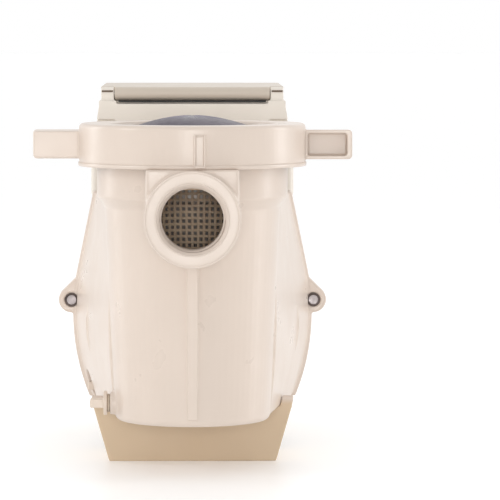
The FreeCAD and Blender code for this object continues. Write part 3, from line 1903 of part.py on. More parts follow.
def motor_foot():
    back = "motor_foot_setback + motor_foot_depth"
    block = box(
        "motor_foot_block",
        ("-motor_foot_half", along("motor_foot_setback"), "0"),
        ("motor_foot_half", along(back), "shaft_height - 40"),
    )
    cells = []
    for i, (low, high) in enumerate(
        (
            ("-motor_foot_half + foot_wall", "-20 - foot_wall / 2"),
            ("-20 + foot_wall / 2", "20 - foot_wall / 2"),
            ("20 + foot_wall / 2", "motor_foot_half - foot_wall"),
        )
    ):
        cells.append(
            box(
                f"motor_foot_cell_{i}",
                (low, along("motor_foot_setback - 1"), "foot_plate"),
                (high, along(f"{back} - foot_wall"), "shaft_height"),
            )
        )
    saddle = cylinder(
        "motor_foot_saddle",
        "motor_radius",
        "pump_length",
        y=along("motor_foot_setback - 5"),
        z="shaft_height",
        axis="Y",
    )
    holes = [
        cylinder(
            f"motor_foot_hole_{i}",
            "foot_hole",
            "foot_plate * 2",
            f"{sign}foot_hole_half",
            along("front_hole_setback + hole_spacing"),
            "-foot_plate / 2",
        )
        for i, sign in enumerate(("", "-"))
    ]
    keep("motor_foot", cut("motor_foot_body", block, *cells, saddle, *holes))


# ------------------------------------------------------------------ drive


def drive_plan(name):
    """The drive's rounded outline seen from above, as a tall block."""
    inner, near, far = "drive_half - drive_corner", "drive_setback", DRIVE_BACK
    corner = "drive_corner"
    outline = [
        (f"-({inner})", along(near)),
        (inner, along(near), corner),
        ("drive_half", along(f"{near} + {corner}")),
        ("drive_half", along(f"{far} - {corner}"), corner),
        (inner, along(far)),
        (f"-({inner})", along(far), corner),
        ("-drive_half", along(f"{far} - {corner}")),
        ("-drive_half", along(f"{near} + {corner}"), corner),
    ]
    return padded(name, "XY_Plane", outline, "pump_height")


def drive_base():
    length = f"({DRIVE_BACK}) - drive_setback"
    half = [
        ("drive_floor_half", "shaft_height + drive_floor_rise"),
        ("drive_half", "shaft_height + drive_shoulder_rise"),
        ("drive_half", SPLIT),
    ]
    block = padded("base_block", "XZ_Plane", mirrored_outline(half), length, y=along("drive_setback"))
    block = common("base_rounded", block, drive_plan("base_plan"))
    saddle = cylinder(
        "base_saddle",
        "motor_radius + saddle_gap",
        "pump_length",
        y=FRONT,
        z="shaft_height",
        axis="Y",
    )
    room = box(
        "base_room",
        (
            "-drive_half + drive_wall + 3",
            along("drive_setback + drive_wall"),
            "shaft_height + drive_shoulder_rise - 14",
        ),
        ("drive_half - drive_wall - 3", along(f"{DRIVE_BACK} - drive_wall"), f"{SPLIT} + 5"),
    )
    conduit_y = along(f"{DRIVE_BACK} - 44")
    conduit_z = f"{SPLIT} - 29"
    entry = tube(
        "conduit_boss_body",
        "conduit_bore",
        "conduit_boss",
        "conduit_depth",
        "-drive_half",
        conduit_y,
        conduit_z,
        "X",
    )
    keep("conduit_entry", entry)
    bore = cylinder(
        "conduit_hole",
        "conduit_boss",
        "drive_wall + 10",
        "-drive_half - 1",
        conduit_y,
        conduit_z,
        "X",
    )
    hollow = cut("base_hollow", block, saddle, room)
    legs = []
    for i, (sign, at) in enumerate(
        (s, a)
        for s in ("", "-")
        for a in (f"{SHELL_FRONT} + 14", f"{SHELL_BACK} - 34")
    ):
        low = "36" if not sign else "-50"
        high = "50" if not sign else "-36"
        legs.append(
            box(
                f"base_leg_{i}",
                (low, along(at), "shaft_height + 60"),
                (high, along(f"{at} + 18"), "shaft_height + motor_radius + saddle_gap - 2"),
            ),
        )
    shell = cylinder("leg_seat", "motor_radius", "pump_length", y=FRONT, z="shaft_height", axis="Y")
    legs = cut("base_legs", group("leg_set", *legs), shell)
    keep("drive_base", cut("base", fuse("base_blank", hollow, legs), bore))


def drive_case():
    length = f"({DRIVE_BACK}) - drive_setback"
    half = [
        ("drive_half", SPLIT),
        ("drive_half", f"{SPLIT} + ledge_height - 1.5"),
        ("drive_half - 1.5", f"{SPLIT} + ledge_height"),
        ("case_waist_half", f"{SPLIT} + ledge_height"),
        ("case_waist_half", f"{SPLIT} + ledge_height + 11"),
        ("case_top_half", f"{CASE_TOP} - 6"),
        ("case_top_half", CASE_TOP),
    ]
    block = padded("case_block", "XZ_Plane", mirrored_outline(half), length, y=along("drive_setback"))
    block = common("case_rounded", block, drive_plan("case_plan"))
    inner = mirrored_outline(
        [
            ("case_waist_half - drive_wall - 3", f"{SPLIT} - 1"),
            ("case_waist_half - drive_wall - 3", f"{SPLIT} + ledge_height + 11"),
            ("case_top_half - drive_wall - 3", f"{CASE_TOP} - drive_wall - 4"),
        ]
    )
    pocket_room = "pocket_depth + drive_wall"
    room = padded(
        "case_room",
        "XZ_Plane",
        inner,
        f"{length} - 2 * ({pocket_room})",
        y=along(f"drive_setback + {pocket_room}"),
    )
    window = box(
        "panel_window",
        ("-panel_half", along("drive_setback + panel_inset"), f"{CASE_TOP} - panel_thickness"),
        ("panel_half", along(f"{DRIVE_BACK} - panel_inset"), f"{CASE_TOP} + 5"),
    )
    through = box(
        "panel_through",
        ("-panel_half + 4", along("drive_setback + panel_inset + 4"), f"{CASE_TOP} - 20"),
        ("panel_half - 4", along(f"{DRIVE_BACK} - panel_inset - 4"), f"{CASE_TOP} + 5"),
    )
    tools = [room, window, through]
    corners = [(sx, end) for sx in ("", "-") for end in ("front", "back")]
    screws, holes = [], []
    for i, (sx, end) in enumerate(corners):
        near = along("drive_setback - 1") if end == "front" else along(f"{DRIVE_BACK} - pocket_depth")
        far = along("drive_setback + pocket_depth") if end == "front" else along(f"{DRIVE_BACK} + 1")
        floor = f"{SPLIT} + ledge_height"
        inner_x, outer_x = "case_waist_half - pocket_width", "drive_half + 5"
        xs = (inner_x, outer_x) if not sx else (f"-({outer_x})", f"-({inner_x})")
        pocket = box(f"case_pocket_{i}", (xs[0], near, floor), (xs[1], far, f"{floor} + pocket_height"))
        edge = value(inner_x)
        roof = value(f"{floor} + pocket_height")
        pocket = rounded(
            f"case_pocket_round_{i}",
            pocket,
            "3",
            lambda p: abs(abs(p.x) - edge) < 0.01 and abs(p.z - roof) < 0.01,
        )
        tools.append(pocket)
        x = f"{sx}(case_waist_half - pocket_width / 2 + 1)"
        y = along(
            "drive_setback + pocket_depth / 2",
        ) if end == "front" else along(f"{DRIVE_BACK} - pocket_depth / 2")
        holes.append(cylinder(f"case_screw_hole_{i}", "2.3", "ledge_height + 2", x, y, f"{SPLIT} - 1"))
        head = cylinder(f"case_screw_head_{i}", "4.2", "3", x, y, floor)
        shank = cylinder(f"case_screw_shank_{i}", "2", "ledge_height - 0.5", x, y, f"{SPLIT} + 0.5")
        drive_slot = box(
            f"case_screw_slot_{i}",
            (f"{x} - 3", f"{y} - 0.5", f"{floor} + 1.8"),
            (f"{x} + 3", f"{y} + 0.5", f"{floor} + 4"),
        )
        screws.append(cut(f"case_screw_{i}", fuse(f"case_screw_blank_{i}", head, shank), drive_slot))
    for i, (low_y, high_y) in enumerate(
        (
            (along("drive_setback - 1"), along("drive_setback + groove_depth")),
            (along(f"{DRIVE_BACK} - groove_depth"), along(f"{DRIVE_BACK} + 1")),
        )
    ):
        tools.append(
            box(
                f"finger_groove_{i}",
                ("-groove_half", low_y, f"{CASE_TOP} - groove_height"),
                ("groove_half", high_y, f"{CASE_TOP} + 2"),
            ),
        )
    hollow = cut("case_hollow", block, *tools, *holes)
    ears = []
    pin_y, ear = along(HINGE_SETBACK), "lid_thickness / 2 - 0.4"
    for i, x in enumerate(("ear_inner", "-ear_inner - ear_width")):
        barrel = cylinder(f"ear_barrel_{i}", ear, "ear_width", x, pin_y, HINGE_Z, "X")
        post = box(
            f"ear_post_{i}",
            (x, f"{pin_y} - ({ear})", f"{CASE_TOP} - 1"),
            (f"{x} + ear_width", f"{pin_y} + {ear}", HINGE_Z),
        )
        ears += [barrel, post]
    pins = cylinder(
        "ear_pin_hole",
        "hinge_pin_radius + 0.02",
        "3 * drive_half",
        "-1.5 * drive_half",
        pin_y,
        HINGE_Z,
        "X",
    )
    keep("drive_case", cut("case", fuse("case_blank", hollow, *ears), pins))
    keep("case_screws", group("case_screw_set", *screws))


def keypad_cover():
    """The hinged cover: a shallow tray, rounded along its hinge at the front."""
    front = along(HINGE_SETBACK)
    radius = "lid_thickness / 2"
    back = f"({DRIVE_BACK}) - ({HINGE_SETBACK})"
    slab = padded(
        "cover_slab",
        "YZ_Plane",
        [
            ("0", "-" + radius),
            (f"{back} - 2", "-" + radius, "2"),
            (back, f"-{radius} + 2"),
            (back, f"{radius} - 4", "4"),
            (f"{back} - 4", radius),
            ("0", radius, radius),
            ("-" + radius, "0", radius),
        ],
        "2 * lid_half",
        y=front,
        z=HINGE_Z,
        both=True,
    )
    hollow = box(
        "cover_hollow",
        ("-lid_half + lid_skin", f"{front} + {radius} + 3", f"{HINGE_Z} - {radius} - 1"),
        ("lid_half - lid_skin", along(f"{DRIVE_BACK} - lid_skin"), "pump_height - lid_skin"),
    )
    notches = [
        box(
            f"ear_notch_{i}",
            (low, f"{front} - 10", f"{HINGE_Z} - 10"),
            (high, f"{front} + {radius} + 1", f"{HINGE_Z} + 10"),
        )
        for i, (low, high) in enumerate(
            (
                ("ear_inner - 0.5", "ear_inner + ear_width + 0.5"),
                ("-ear_inner - ear_width - 0.5", "-ear_inner + 0.5"),
            )
        )
    ]
    pin = cylinder(
        "cover_pin_hole",
        "hinge_pin_radius + 0.05",
        "3 * drive_half",
        "-1.5 * drive_half",
        front,
        HINGE_Z,
        "X",
    )
    keep("keypad_cover", cut("cover_tray", slab, hollow, *notches, pin))
    pins = [
        cylinder(f"hinge_pin_{i}", "hinge_pin_radius", "ear_width + 6", x, front, HINGE_Z, "X")
        for i, x in enumerate(("ear_inner - 7", "-ear_inner - ear_width + 1"))
    ]
    keep("hinge_pins", group("hinge_pin_set", *pins))


PANEL_TOP = CASE_TOP
PANEL_MIDDLE = f"(drive_setback + {DRIVE_BACK}) / 2"


def button_places():
    """(name, x, setback) of each keypad button: a row of speeds, and the start key below it."""
    row = [
        (name, f"({i} - 1.5) * button_pitch", f"{PANEL_MIDDLE} - 40")
        for i, name in enumerate(BUTTONS)
    ]
    keys = [
        ("down_button", "-button_pitch * 1.5", f"{PANEL_MIDDLE} - 66"),
        ("up_button", "-button_pitch * 0.5", f"{PANEL_MIDDLE} - 66"),
        ("start_stop_button", "button_pitch", f"{PANEL_MIDDLE} - 66"),
    ]
    return row + keys


def keypad():
    plate = box(
        "panel_plate",
        (
            "-panel_half + running_gap",
            along("drive_setback + panel_inset + running_gap"),
            f"{PANEL_TOP} - panel_thickness",
        ),
        ("panel_half - running_gap", along(f"{DRIVE_BACK} - panel_inset - running_gap"), PANEL_TOP),
    )
    holes = []
    for name, x, setback in button_places():
        radius = "button_radius * 1.5" if name == "start_stop_button" else "button_radius"
        holes.append(
            cylinder(
                name + "_hole",
                f"{radius} + running_gap",
                "panel_thickness + 2",
                x,
                along(setback),
                f"{PANEL_TOP} - panel_thickness - 1",
            ),
        )
        cap = turned(
            name + "_cap",
            [
                ("0", "-panel_thickness - 2"),
                (f"{radius} + 1.4", "-panel_thickness - 2"),
                (f"{radius} + 1.4", "-panel_thickness - 0.3"),
                (radius, "-panel_thickness - 0.3"),
                (radius, "button_rise + button_travel - 0.8", "0.8"),
                (f"{radius} - 0.8", "button_rise + button_travel"),
                ("0", "button_rise + button_travel"),
            ],
            x,
            along(setback),
            PANEL_TOP,
        )
        keep(name, cap)
    display = ("-30", along(f"{PANEL_MIDDLE} - 16")), ("30", along(f"{PANEL_MIDDLE} + 22"))
    sink = box("display_sink", (*display[0], f"{PANEL_TOP} - 1.5"), (*display[1], f"{PANEL_TOP} + 2"))
    keep("keypad_panel", cut("panel", plate, *holes, sink))
    keep(
        "display_window",
        box("display_glass", (*display[0], f"{PANEL_TOP} - 1.5"), (*display[1], PANEL_TOP)),
    )


def drive_inside():
    board = box(
        "board_plate",
        ("-drive_half + drive_wall + 5", along("drive_setback + drive_wall + 2"), f"{SPLIT} - 12"),
        ("drive_half - drive_wall - 5", along(f"{DRIVE_BACK} - drive_wall - 2"), f"{SPLIT} - 10"),
    )
    stands = [
        cylinder(
            f"board_stand_{i}",
            "5",
            "drive_split_rise - 12 - (drive_shoulder_rise - 14)",
            x,
            y,
            "shaft_height + drive_shoulder_rise - 14",
        )
        for i, (x, y) in enumerate(
            (x, y)
            for x in ("-drive_half + 24", "drive_half - 24")
            for y in (along("drive_setback + 24"), along(f"{DRIVE_BACK} - 24"))
        )
    ]
    keep("drive_board", fuse("board", board, *stands))
    parts = [
        cylinder(
            f"capacitor_{i}",
            "14",
            "30",
            f"({i} - 1) * 34",
            along(f"{DRIVE_BACK} - 50"),
            f"{SPLIT} - 10",
        )
        for i in range(3)
    ]
    parts.append(
        box(
            "choke",
            ("-60", along("drive_setback + 60"), f"{SPLIT} - 10"),
            ("-20", along("drive_setback + 100"), f"{SPLIT} + 16"),
        ),
    )
    parts.append(
        box(
            "power_module",
            ("10", along("drive_setback + 60"), f"{SPLIT} - 10"),
            ("65", along("drive_setback + 110"), f"{SPLIT} + 2"),
        ),
    )
    keep("drive_components", group("component_set", *parts))


def bonding_lug():
    """The copper earth lug on the side of the front end bell."""
    y = along(f"{PLATE_BACK} + 20")
    z = "shaft_height - 4"
    block = box(
        "lug_block",
        ("-motor_radius - 15", f"{y} - 5", f"{z} - 6"),
        ("-motor_radius + 8", f"{y} + 5", f"{z} + 6"),
    )
    bell = cylinder("lug_seat", "motor_radius", "pump_length", y=FRONT, z="shaft_height", axis="Y")
    hole = cylinder("lug_wire_hole", "2.6", "20", "-motor_radius - 9.5", f"{y} - 10", z, "Y")
    screw = cylinder("lug_screw", "2.8", "6", "-motor_radius - 9.5", y, f"{z} + 5")
    keep("bonding_lug", cut("lug", fuse("lug_blank", block, screw), bell, hole))


# ------------------------------------------------------------------ build, check and write

strainer_pot()
suction_port()
volute_casing()
discharge_port()
pump_foot()
strainer_lid()
lid_o_ring()
clamp_ring()
strainer_basket()
drain_plug("pot_drain_plug", "plug_boss_half", along("plug_setback"), "plug_height")
drain_plug("volute_drain_plug", "volute_plug_face", DRAIN_Y, "shaft_height + volute_plug_rise")
diffuser()
impeller()
wet_end_small_parts()
seal_plate()
flange_fasteners()
motor_shaft()
motor_electrics()
motor_castings()
cooling_fan()
fan_cover()
motor_foot()
drive_base()
drive_case()
keypad_cover()
keypad()
drive_inside()
bonding_lug()

doc.recompute()

for obj in doc.Objects:
    if {"Invalid", "Error"} & set(obj.State):
        raise RuntimeError(f"{obj.Name} failed: {obj.State} {obj.getStatusString()}")
os.makedirs("parts", exist_ok=True)
for name, obj in pieces.items():
    shape = obj.Shape
    if shape.isNull() or not shape.isValid() or not shape.Solids or shape.Volume <= 0:
        raise RuntimeError(f"{name} has no valid solid")
    shape.exportStep(f"parts/{name}.step")
print(len(pieces), "sub-parts")
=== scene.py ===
"""A variable-speed pool pump on a pale studio floor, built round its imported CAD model.

Everything is in metres in the model's own frame: +X across the pump, +Y from the suction port
back along the shaft, +Z up. Sizes written in millimetres are turned into metres by MM.
"""

import math

import bmesh
import bpy
from mathutils import Matrix, Vector


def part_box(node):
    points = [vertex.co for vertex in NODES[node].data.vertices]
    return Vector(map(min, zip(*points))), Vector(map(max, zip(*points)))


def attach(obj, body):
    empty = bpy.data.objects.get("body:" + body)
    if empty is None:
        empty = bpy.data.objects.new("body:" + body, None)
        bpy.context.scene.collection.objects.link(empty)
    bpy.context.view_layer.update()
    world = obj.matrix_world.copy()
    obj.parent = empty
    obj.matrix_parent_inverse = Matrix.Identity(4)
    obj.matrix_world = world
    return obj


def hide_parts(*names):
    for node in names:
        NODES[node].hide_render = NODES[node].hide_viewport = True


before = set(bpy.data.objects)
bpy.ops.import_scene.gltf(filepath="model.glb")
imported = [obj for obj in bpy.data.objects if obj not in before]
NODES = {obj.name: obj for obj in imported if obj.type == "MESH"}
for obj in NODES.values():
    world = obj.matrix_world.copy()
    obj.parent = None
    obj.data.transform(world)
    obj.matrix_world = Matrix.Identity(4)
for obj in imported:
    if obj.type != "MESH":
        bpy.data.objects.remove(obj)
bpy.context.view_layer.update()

MM = 0.001
SCENE = bpy.context.scene
COARSE = 1.0  # voxels are this much larger while trying things

# ------------------------------------------------------------------ places, read from the model


def node_box(name):
    """(lowest, highest) corner of a node, in millimetres."""
    low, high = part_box(name)
    return low / MM, high / MM


pot_low = node_box("strainer_pot")[0]
port_low = node_box("suction_port")[0]
lid_top = node_box("strainer_lid")[1].z
ring_low, ring_high = node_box("clamp_ring")
basket_low, basket_high = node_box("strainer_basket")
case_low, case_high = node_box("drive_case")
cover_low, cover_high = node_box("keypad_cover")
display_low, display_high = node_box("display_window")
discharge_low, discharge_high = node_box("discharge_port")

# Millimetres, except where a comment says degrees.
POT_Y = (basket_low.y + basket_high.y) / 2
PORT_RADIUS = 30
PORT_MOUTH = 4  # plain bore before the thread starts
PORT_THREAD = 35  # depth of the threaded bore
BOSS_RADIUS = 44.8
PORT_Z = port_low.z + BOSS_RADIUS
DISCHARGE_Y = (discharge_low.y + discharge_high.y) / 2
RING_RADIUS = 108
MARK_TURN = 3.6  # degrees that the ring's raised mark stands past its middle
GUSSET_TOP = 64  # the foot is cut off above this height
BASKET_FOOT_RADIUS = 61
BASKET_TOP_RADIUS = 73
BASKET_RIM = 9  # height of the basket's solid rim
BASKET_WINDOW = 38  # radius of the opening in the basket that faces the port
DOME_RISE = 20.5  # height of the lid's dome over its foot
DOME_FOOT = 76.5  # radius of the dome at its foot
DOME_CURVE = (DOME_FOOT**2 + DOME_RISE**2) / (2 * DOME_RISE)

# ------------------------------------------------------------------ camera, floor and light

CAMERA_PLACE = (0, -3.556, 0.434)
CAMERA_PITCH = -3.76  # degrees above the horizon
CAMERA_YAW = -0.935  # degrees to the left
CAMERA_LENS = 254.4


def look_at(obj, target):
    obj.rotation_euler = (Vector(target) - obj.location).to_track_quat("-Z", "Y").to_euler()


def add_camera():
    data = bpy.data.cameras.new("camera")
    data.lens = CAMERA_LENS
    data.clip_end = 50
    camera = bpy.data.objects.new("camera", data)
    camera.location = CAMERA_PLACE
    turns = (90 + CAMERA_PITCH, 0, CAMERA_YAW)
    camera.rotation_euler = [math.radians(turn) for turn in turns]
    SCENE.collection.objects.link(camera)
    SCENE.camera = camera


def add_light(name, place, target, size, power, colour=(1, 1, 1)):
    data = bpy.data.lights.new(name, "AREA")
    data.shape = "RECTANGLE"
    data.size, data.size_y = size
    data.energy = power
    data.color = colour
    light = bpy.data.objects.new(name, data)
    light.location = place
    SCENE.collection.objects.link(light)
    look_at(light, target)


def add_studio():
    """A white sheet that runs out of sight on every side, under a white sky."""
    sheet = bmesh.new()
    verts = [sheet.verts.new((radius, 0, 0)) for radius in (0.001, 1.0, 4.0, 40.0)]
    edges = [sheet.edges.new(pair) for pair in zip(verts, verts[1:])]
    whole_turn = {"cent": (0, 0, 0), "axis": (0, 0, 1), "angle": 2 * math.pi}
    bmesh.ops.spin(sheet, geom=verts + edges, steps=96, use_merge=True, **whole_turn)
    mesh = bpy.data.meshes.new("floor")
    sheet.to_mesh(mesh)
    sheet.free()
    floor = bpy.data.objects.new("floor", mesh)
    SCENE.collection.objects.link(floor)
    paper = bpy.data.materials.new("paper")
    paper.use_nodes = True
    shader = paper.node_tree.nodes["Principled BSDF"]
    shader.inputs["Base Color"].default_value = (0.96, 0.96, 0.96, 1)
    shader.inputs["Emission Color"].default_value = (1, 1, 1, 1)
    shader.inputs["Emission Strength"].default_value = 0.1
    shader.inputs["Roughness"].default_value = 0.35
    shader.inputs["Specular IOR Level"].default_value = 0.3
    mesh.materials.append(paper)

    world = bpy.data.worlds.new("studio")
    world.use_nodes = True
    nodes, links = world.node_tree.nodes, world.node_tree.links
    nodes["Background"].inputs["Color"].default_value = (1, 1, 1, 1)
    towards = nodes.new("ShaderNodeSeparateXYZ")
    links.new(nodes.new("ShaderNodeTexCoord").outputs["Generated"], towards.inputs["Vector"])
    shade = nodes.new("ShaderNodeMapRange")  # white behind the pump, dimmer in front of it
    for socket, number in (("From Min", -1), ("From Max", 0.3), ("To Min", 0.66), ("To Max", 1.0)):
        shade.inputs[socket].default_value = number
    links.new(towards.outputs["Y"], shade.inputs["Value"])
    links.new(shade.outputs["Result"], nodes["Background"].inputs["Strength"])
    SCENE.world = world
    SCENE.view_settings.view_transform = "Standard"

    middle = (0, -0.1, 0.2)
    add_light("key", (-2.8, -1.3, 1.4), middle, (0.35, 1.2), 20, (1, 0.99, 0.99))
    add_light("rim_left", (-2.6, 1.2, 0.9), middle, (0.4, 1.6), 13, (1, 1, 1))
    add_light("rim_right", (2.6, 0.3, 0.9), middle, (0.4, 1.6), 20, (1, 0.99, 1))
    add_light("front", (0, -4.3, 0.5), (0, -0.3, 0.25), (1.0, 0.7), 33, (1, 0.985, 0.97))
    add_light("back", (0.6, 2.6, 1.8), middle, (1.6, 1.4), 5, (1, 0.99, 0.98))


# ------------------------------------------------------------------ materials


class Finish:
    """A Principled material whose colour, gloss and relief come from a few noise nodes."""

    def __init__(self, name, roughness=0.4, metallic=0.0, **constants):
        self.material = bpy.data.materials.new(name)
        self.material.use_nodes = True
        self.tree = self.material.node_tree
        self.shader = self.tree.nodes["Principled BSDF"]
        self.shader.inputs["Roughness"].default_value = roughness
        self.shader.inputs["Metallic"].default_value = metallic
        for socket, value in constants.items():
            self.shader.inputs[socket.replace("_", " ")].default_value = value
        self.place = self.node("ShaderNodeTexCoord").outputs["Object"]
        self.relief = None

    def node(self, kind, **settings):
        node = self.tree.nodes.new(kind)
        for name, value in settings.items():
            setattr(node, name, value)
        return node

    def link(self, source, target):
        self.tree.links.new(source, target)

    def noise(self, scale, detail=3.0, stretch=None):
        """Noise between 0 and 1. Scale is in waves per metre."""
        noise = self.node("ShaderNodeTexNoise")
        noise.inputs["Scale"].default_value = scale
        noise.inputs["Detail"].default_value = detail
        place = self.place
        if stretch:
            mapping = self.node("ShaderNodeMapping")
            mapping.inputs["Scale"].default_value = stretch
            self.link(place, mapping.inputs["Vector"])
            place = mapping.outputs["Vector"]
        self.link(place, noise.inputs["Vector"])
        return noise.outputs["Fac"]

    def ramp(self, factor, stops):
        ramp = self.node("ShaderNodeValToRGB")
        points = ramp.color_ramp.elements
        while len(points) < len(stops):
            points.new(0.5)
        for point, (position, colour) in zip(points, stops):
            point.position = position
            point.color = colour if len(colour) == 4 else (*colour, 1)
        self.link(factor, ramp.inputs["Fac"])
        return ramp.outputs["Color"]

    def colour(self, stops, scale, detail=3.0, stretch=None):
        self.link(self.ramp(self.noise(scale, detail, stretch), stops), self.shader.inputs["Base Color"])
        return self

    def gloss(self, low, high, scale, stretch=None):
        """Roughness that wanders between low and high."""
        spread = self.node("ShaderNodeMapRange")
        spread.inputs["From Min"].default_value = 0.3
        spread.inputs["From Max"].default_value = 0.7
        spread.inputs["To Min"].default_value = low
        spread.inputs["To Max"].default_value = high
        self.link(self.noise(scale, 4.0, stretch), spread.inputs["Value"])
        self.link(spread.outputs["Result"], self.shader.inputs["Roughness"])
        return self

    def bump(self, scale, depth, detail=2.0, stretch=None):
        """Relief of a depth in metres. Several calls add up."""
        return self.bump_from(self.noise(scale, detail, stretch), depth)

    def bump_from(self, height, depth):
        bump = self.node("ShaderNodeBump")
        bump.inputs["Strength"].default_value = 1.0
        bump.inputs["Distance"].default_value = depth
        self.link(height, bump.inputs["Height"])
        if self.relief is not None:
            self.link(self.relief, bump.inputs["Normal"])
        self.relief = bump.outputs["Normal"]
        self.link(self.relief, self.shader.inputs["Normal"])
        return self


def blend_of(colour, low, high):
    """Colour stops a little darker and a little lighter than a colour."""
    return [(0.3, [c * low for c in colour]), (0.7, [min(1, c * high) for c in colour])]


def moulded_plastic(name, colour, roughness=0.31, grain=0.00002):
    """Satin injection-moulded plastic: slow colour drift, fine grain, slight flow unevenness."""
    finish = Finish(name, Specular_IOR_Level=0.55)
    finish.colour(blend_of(colour, 0.965, 1.03), 9, 5.0)
    finish.gloss(roughness - 0.04, roughness + 0.06, 30)
    finish.bump(14, 0.0004, 2.0)
    finish.bump(1900, grain, 2.0)
    return finish.material


def shaded_foot(name, shade_colour, high_colour):
    """Foot plastic: the body's colour where it meets the body, darkened to tan below as painted shade on the
    lower part, with a short fade between.
    """
    finish = Finish(name, Specular_IOR_Level=0.4)
    parts = finish.node("ShaderNodeSeparateXYZ")
    finish.link(finish.place, parts.inputs["Vector"])
    height = finish.node("ShaderNodeMapRange")
    height.inputs["From Min"].default_value = 56 * MM
    height.inputs["From Max"].default_value = 61 * MM
    finish.link(parts.outputs["Z"], height.inputs["Value"])
    fade = finish.node("ShaderNodeMix", data_type="RGBA")
    painted_shade = finish.ramp(finish.noise(9, 5.0), blend_of(shade_colour, 0.96, 1.03))
    almond = finish.ramp(finish.noise(9, 5.0), blend_of(high_colour, 0.975, 1.02))
    finish.link(height.outputs["Result"], fade.inputs["Factor"])
    finish.link(painted_shade, fade.inputs[6])
    finish.link(almond, fade.inputs[7])
    finish.link(fade.outputs[2], finish.shader.inputs["Base Color"])
    finish.gloss(0.4, 0.52, 30)
    finish.bump(14, 0.0004, 2.0)
    finish.bump(1900, 0.00002, 2.0)
    return finish.material


def matt_plastic(name, colour, roughness=0.6):
    finish = Finish(name, Specular_IOR_Level=0.4)
    finish.colour(blend_of(colour, 0.88, 1.12), 40, 5.0)
    finish.gloss(roughness - 0.08, roughness + 0.08, 90)
    finish.bump(1200, 0.00006, 3.0)
    return finish.material


def painted_metal(name, colour):
    """Satin paint on a casting: faint orange peel over the sand texture."""
    finish = Finish(name, Specular_IOR_Level=0.5)
    finish.colour(blend_of(colour, 0.95, 1.03), 22, 5.0)
    finish.gloss(0.32, 0.46, 60)
    finish.bump(380, 0.00008, 2.0)
    finish.bump(1500, 0.00003, 2.0)
    return finish.material


def metal(name, colour, roughness, stretch=(1, 1, 1), grain=1500, depth=0.00001):
    """Bare metal, with tool marks that run across the stretched direction."""
    finish = Finish(name, metallic=1.0)
    finish.colour(blend_of(colour, 0.82, 1.1), 160, 5.0)
    finish.gloss(roughness - 0.07, roughness + 0.12, 220, stretch)
    finish.bump(grain, depth, 3.0, stretch)
    return finish.material


def rubber(name, colour=(0.022, 0.022, 0.023)):
    finish = Finish(name, Specular_IOR_Level=0.35)
    finish.colour(blend_of(colour, 0.8, 1.35), 120, 4.0)
    finish.gloss(0.5, 0.68, 150)
    finish.bump(1600, 0.00003, 2.0)
    return finish.material


def clear_moulding(name, colour):
    """Smoke-tinted see-through plastic with faint flow lines and fine scratches."""
    finish = Finish(name, Transmission_Weight=0.3, IOR=1.3, Specular_IOR_Level=0.08)
    finish.colour(blend_of(colour, 0.9, 1.12), 60, 4.0)
    finish.gloss(0.28, 0.4, 200)
    finish.bump(70, 0.0004, 3.0)
    return finish.material


def stacked_steel(name):
    """Electrical steel sheets, stacked along the shaft."""
    finish = Finish(name, metallic=0.85)
    finish.colour(blend_of((0.3, 0.3, 0.31), 0.7, 1.2), 90, 5.0)
    finish.gloss(0.38, 0.55, 200)
    sheets = finish.node("ShaderNodeTexWave", wave_type="BANDS", bands_direction="Y")
    sheets.inputs["Scale"].default_value = 320
    finish.link(finish.place, sheets.inputs["Vector"])
    return finish.bump_from(sheets.outputs["Fac"], 0.00025).material


def wound_copper(name):
    """Enamelled wire, laid in close turns and varnished."""
    finish = Finish(name, metallic=0.75, Coat_Weight=0.4)
    finish.colour(blend_of((0.5, 0.2, 0.09), 0.7, 1.25), 300, 4.0)
    finish.gloss(0.22, 0.4, 300)
    turns = finish.node("ShaderNodeTexWave", wave_type="RINGS", rings_direction="Y")
    turns.inputs["Scale"].default_value = 260
    turns.inputs["Distortion"].default_value = 1.5
    finish.link(finish.place, turns.inputs["Vector"])
    return finish.bump_from(turns.outputs["Fac"], 0.0004).material


def circuit_board(name):
    """Green coated board with copper tracks showing through in angular patches."""
    finish = Finish(name, Coat_Weight=0.5, roughness=0.3)
    cells = finish.node("ShaderNodeTexVoronoi", distance="MANHATTAN", feature="DISTANCE_TO_EDGE")
    cells.inputs["Scale"].default_value = 160
    finish.link(finish.place, cells.inputs["Vector"])
    tracks = finish.ramp(
        cells.outputs["Distance"], [(0.06, (0.02, 0.11, 0.05)), (0.09, (0.05, 0.24, 0.11))]
    )
    finish.link(tracks, finish.shader.inputs["Base Color"])
    return finish.bump_from(cells.outputs["Distance"], 0.0002).material


def sleeved_parts(name):
    finish = Finish(name, Coat_Weight=0.3)
    finish.colour([(0.35, (0.015, 0.02, 0.05)), (0.65, (0.04, 0.05, 0.11))], 30, 4.0)
    finish.gloss(0.25, 0.4, 80)
    finish.bump(500, 0.00005)
    return finish.material


def lit_display(name):
    """Grey-green display glass over a faint grid of dots."""
    finish = Finish(name, roughness=0.12, Coat_Weight=0.6)
    dots = finish.node("ShaderNodeTexVoronoi", distance="CHEBYCHEV")
    dots.inputs["Scale"].default_value = 900
    dots.inputs["Randomness"].default_value = 0.0
    finish.link(finish.place, dots.inputs["Vector"])
    shade = finish.ramp(dots.outputs["Distance"], [(0.3, (0.24, 0.31, 0.25)), (0.5, (0.3, 0.37, 0.3))])
    finish.link(shade, finish.shader.inputs["Base Color"])
    return finish.bump(300, 0.00002).material


CREAM = (0.645, 0.55, 0.475)
WARM_GREY = (0.56, 0.50, 0.44)
# Tan painted as shade on the lower foot; the foot's own plastic is the body's colour.
PAINTED_SHADE_TAN = (0.60, 0.465, 0.32)

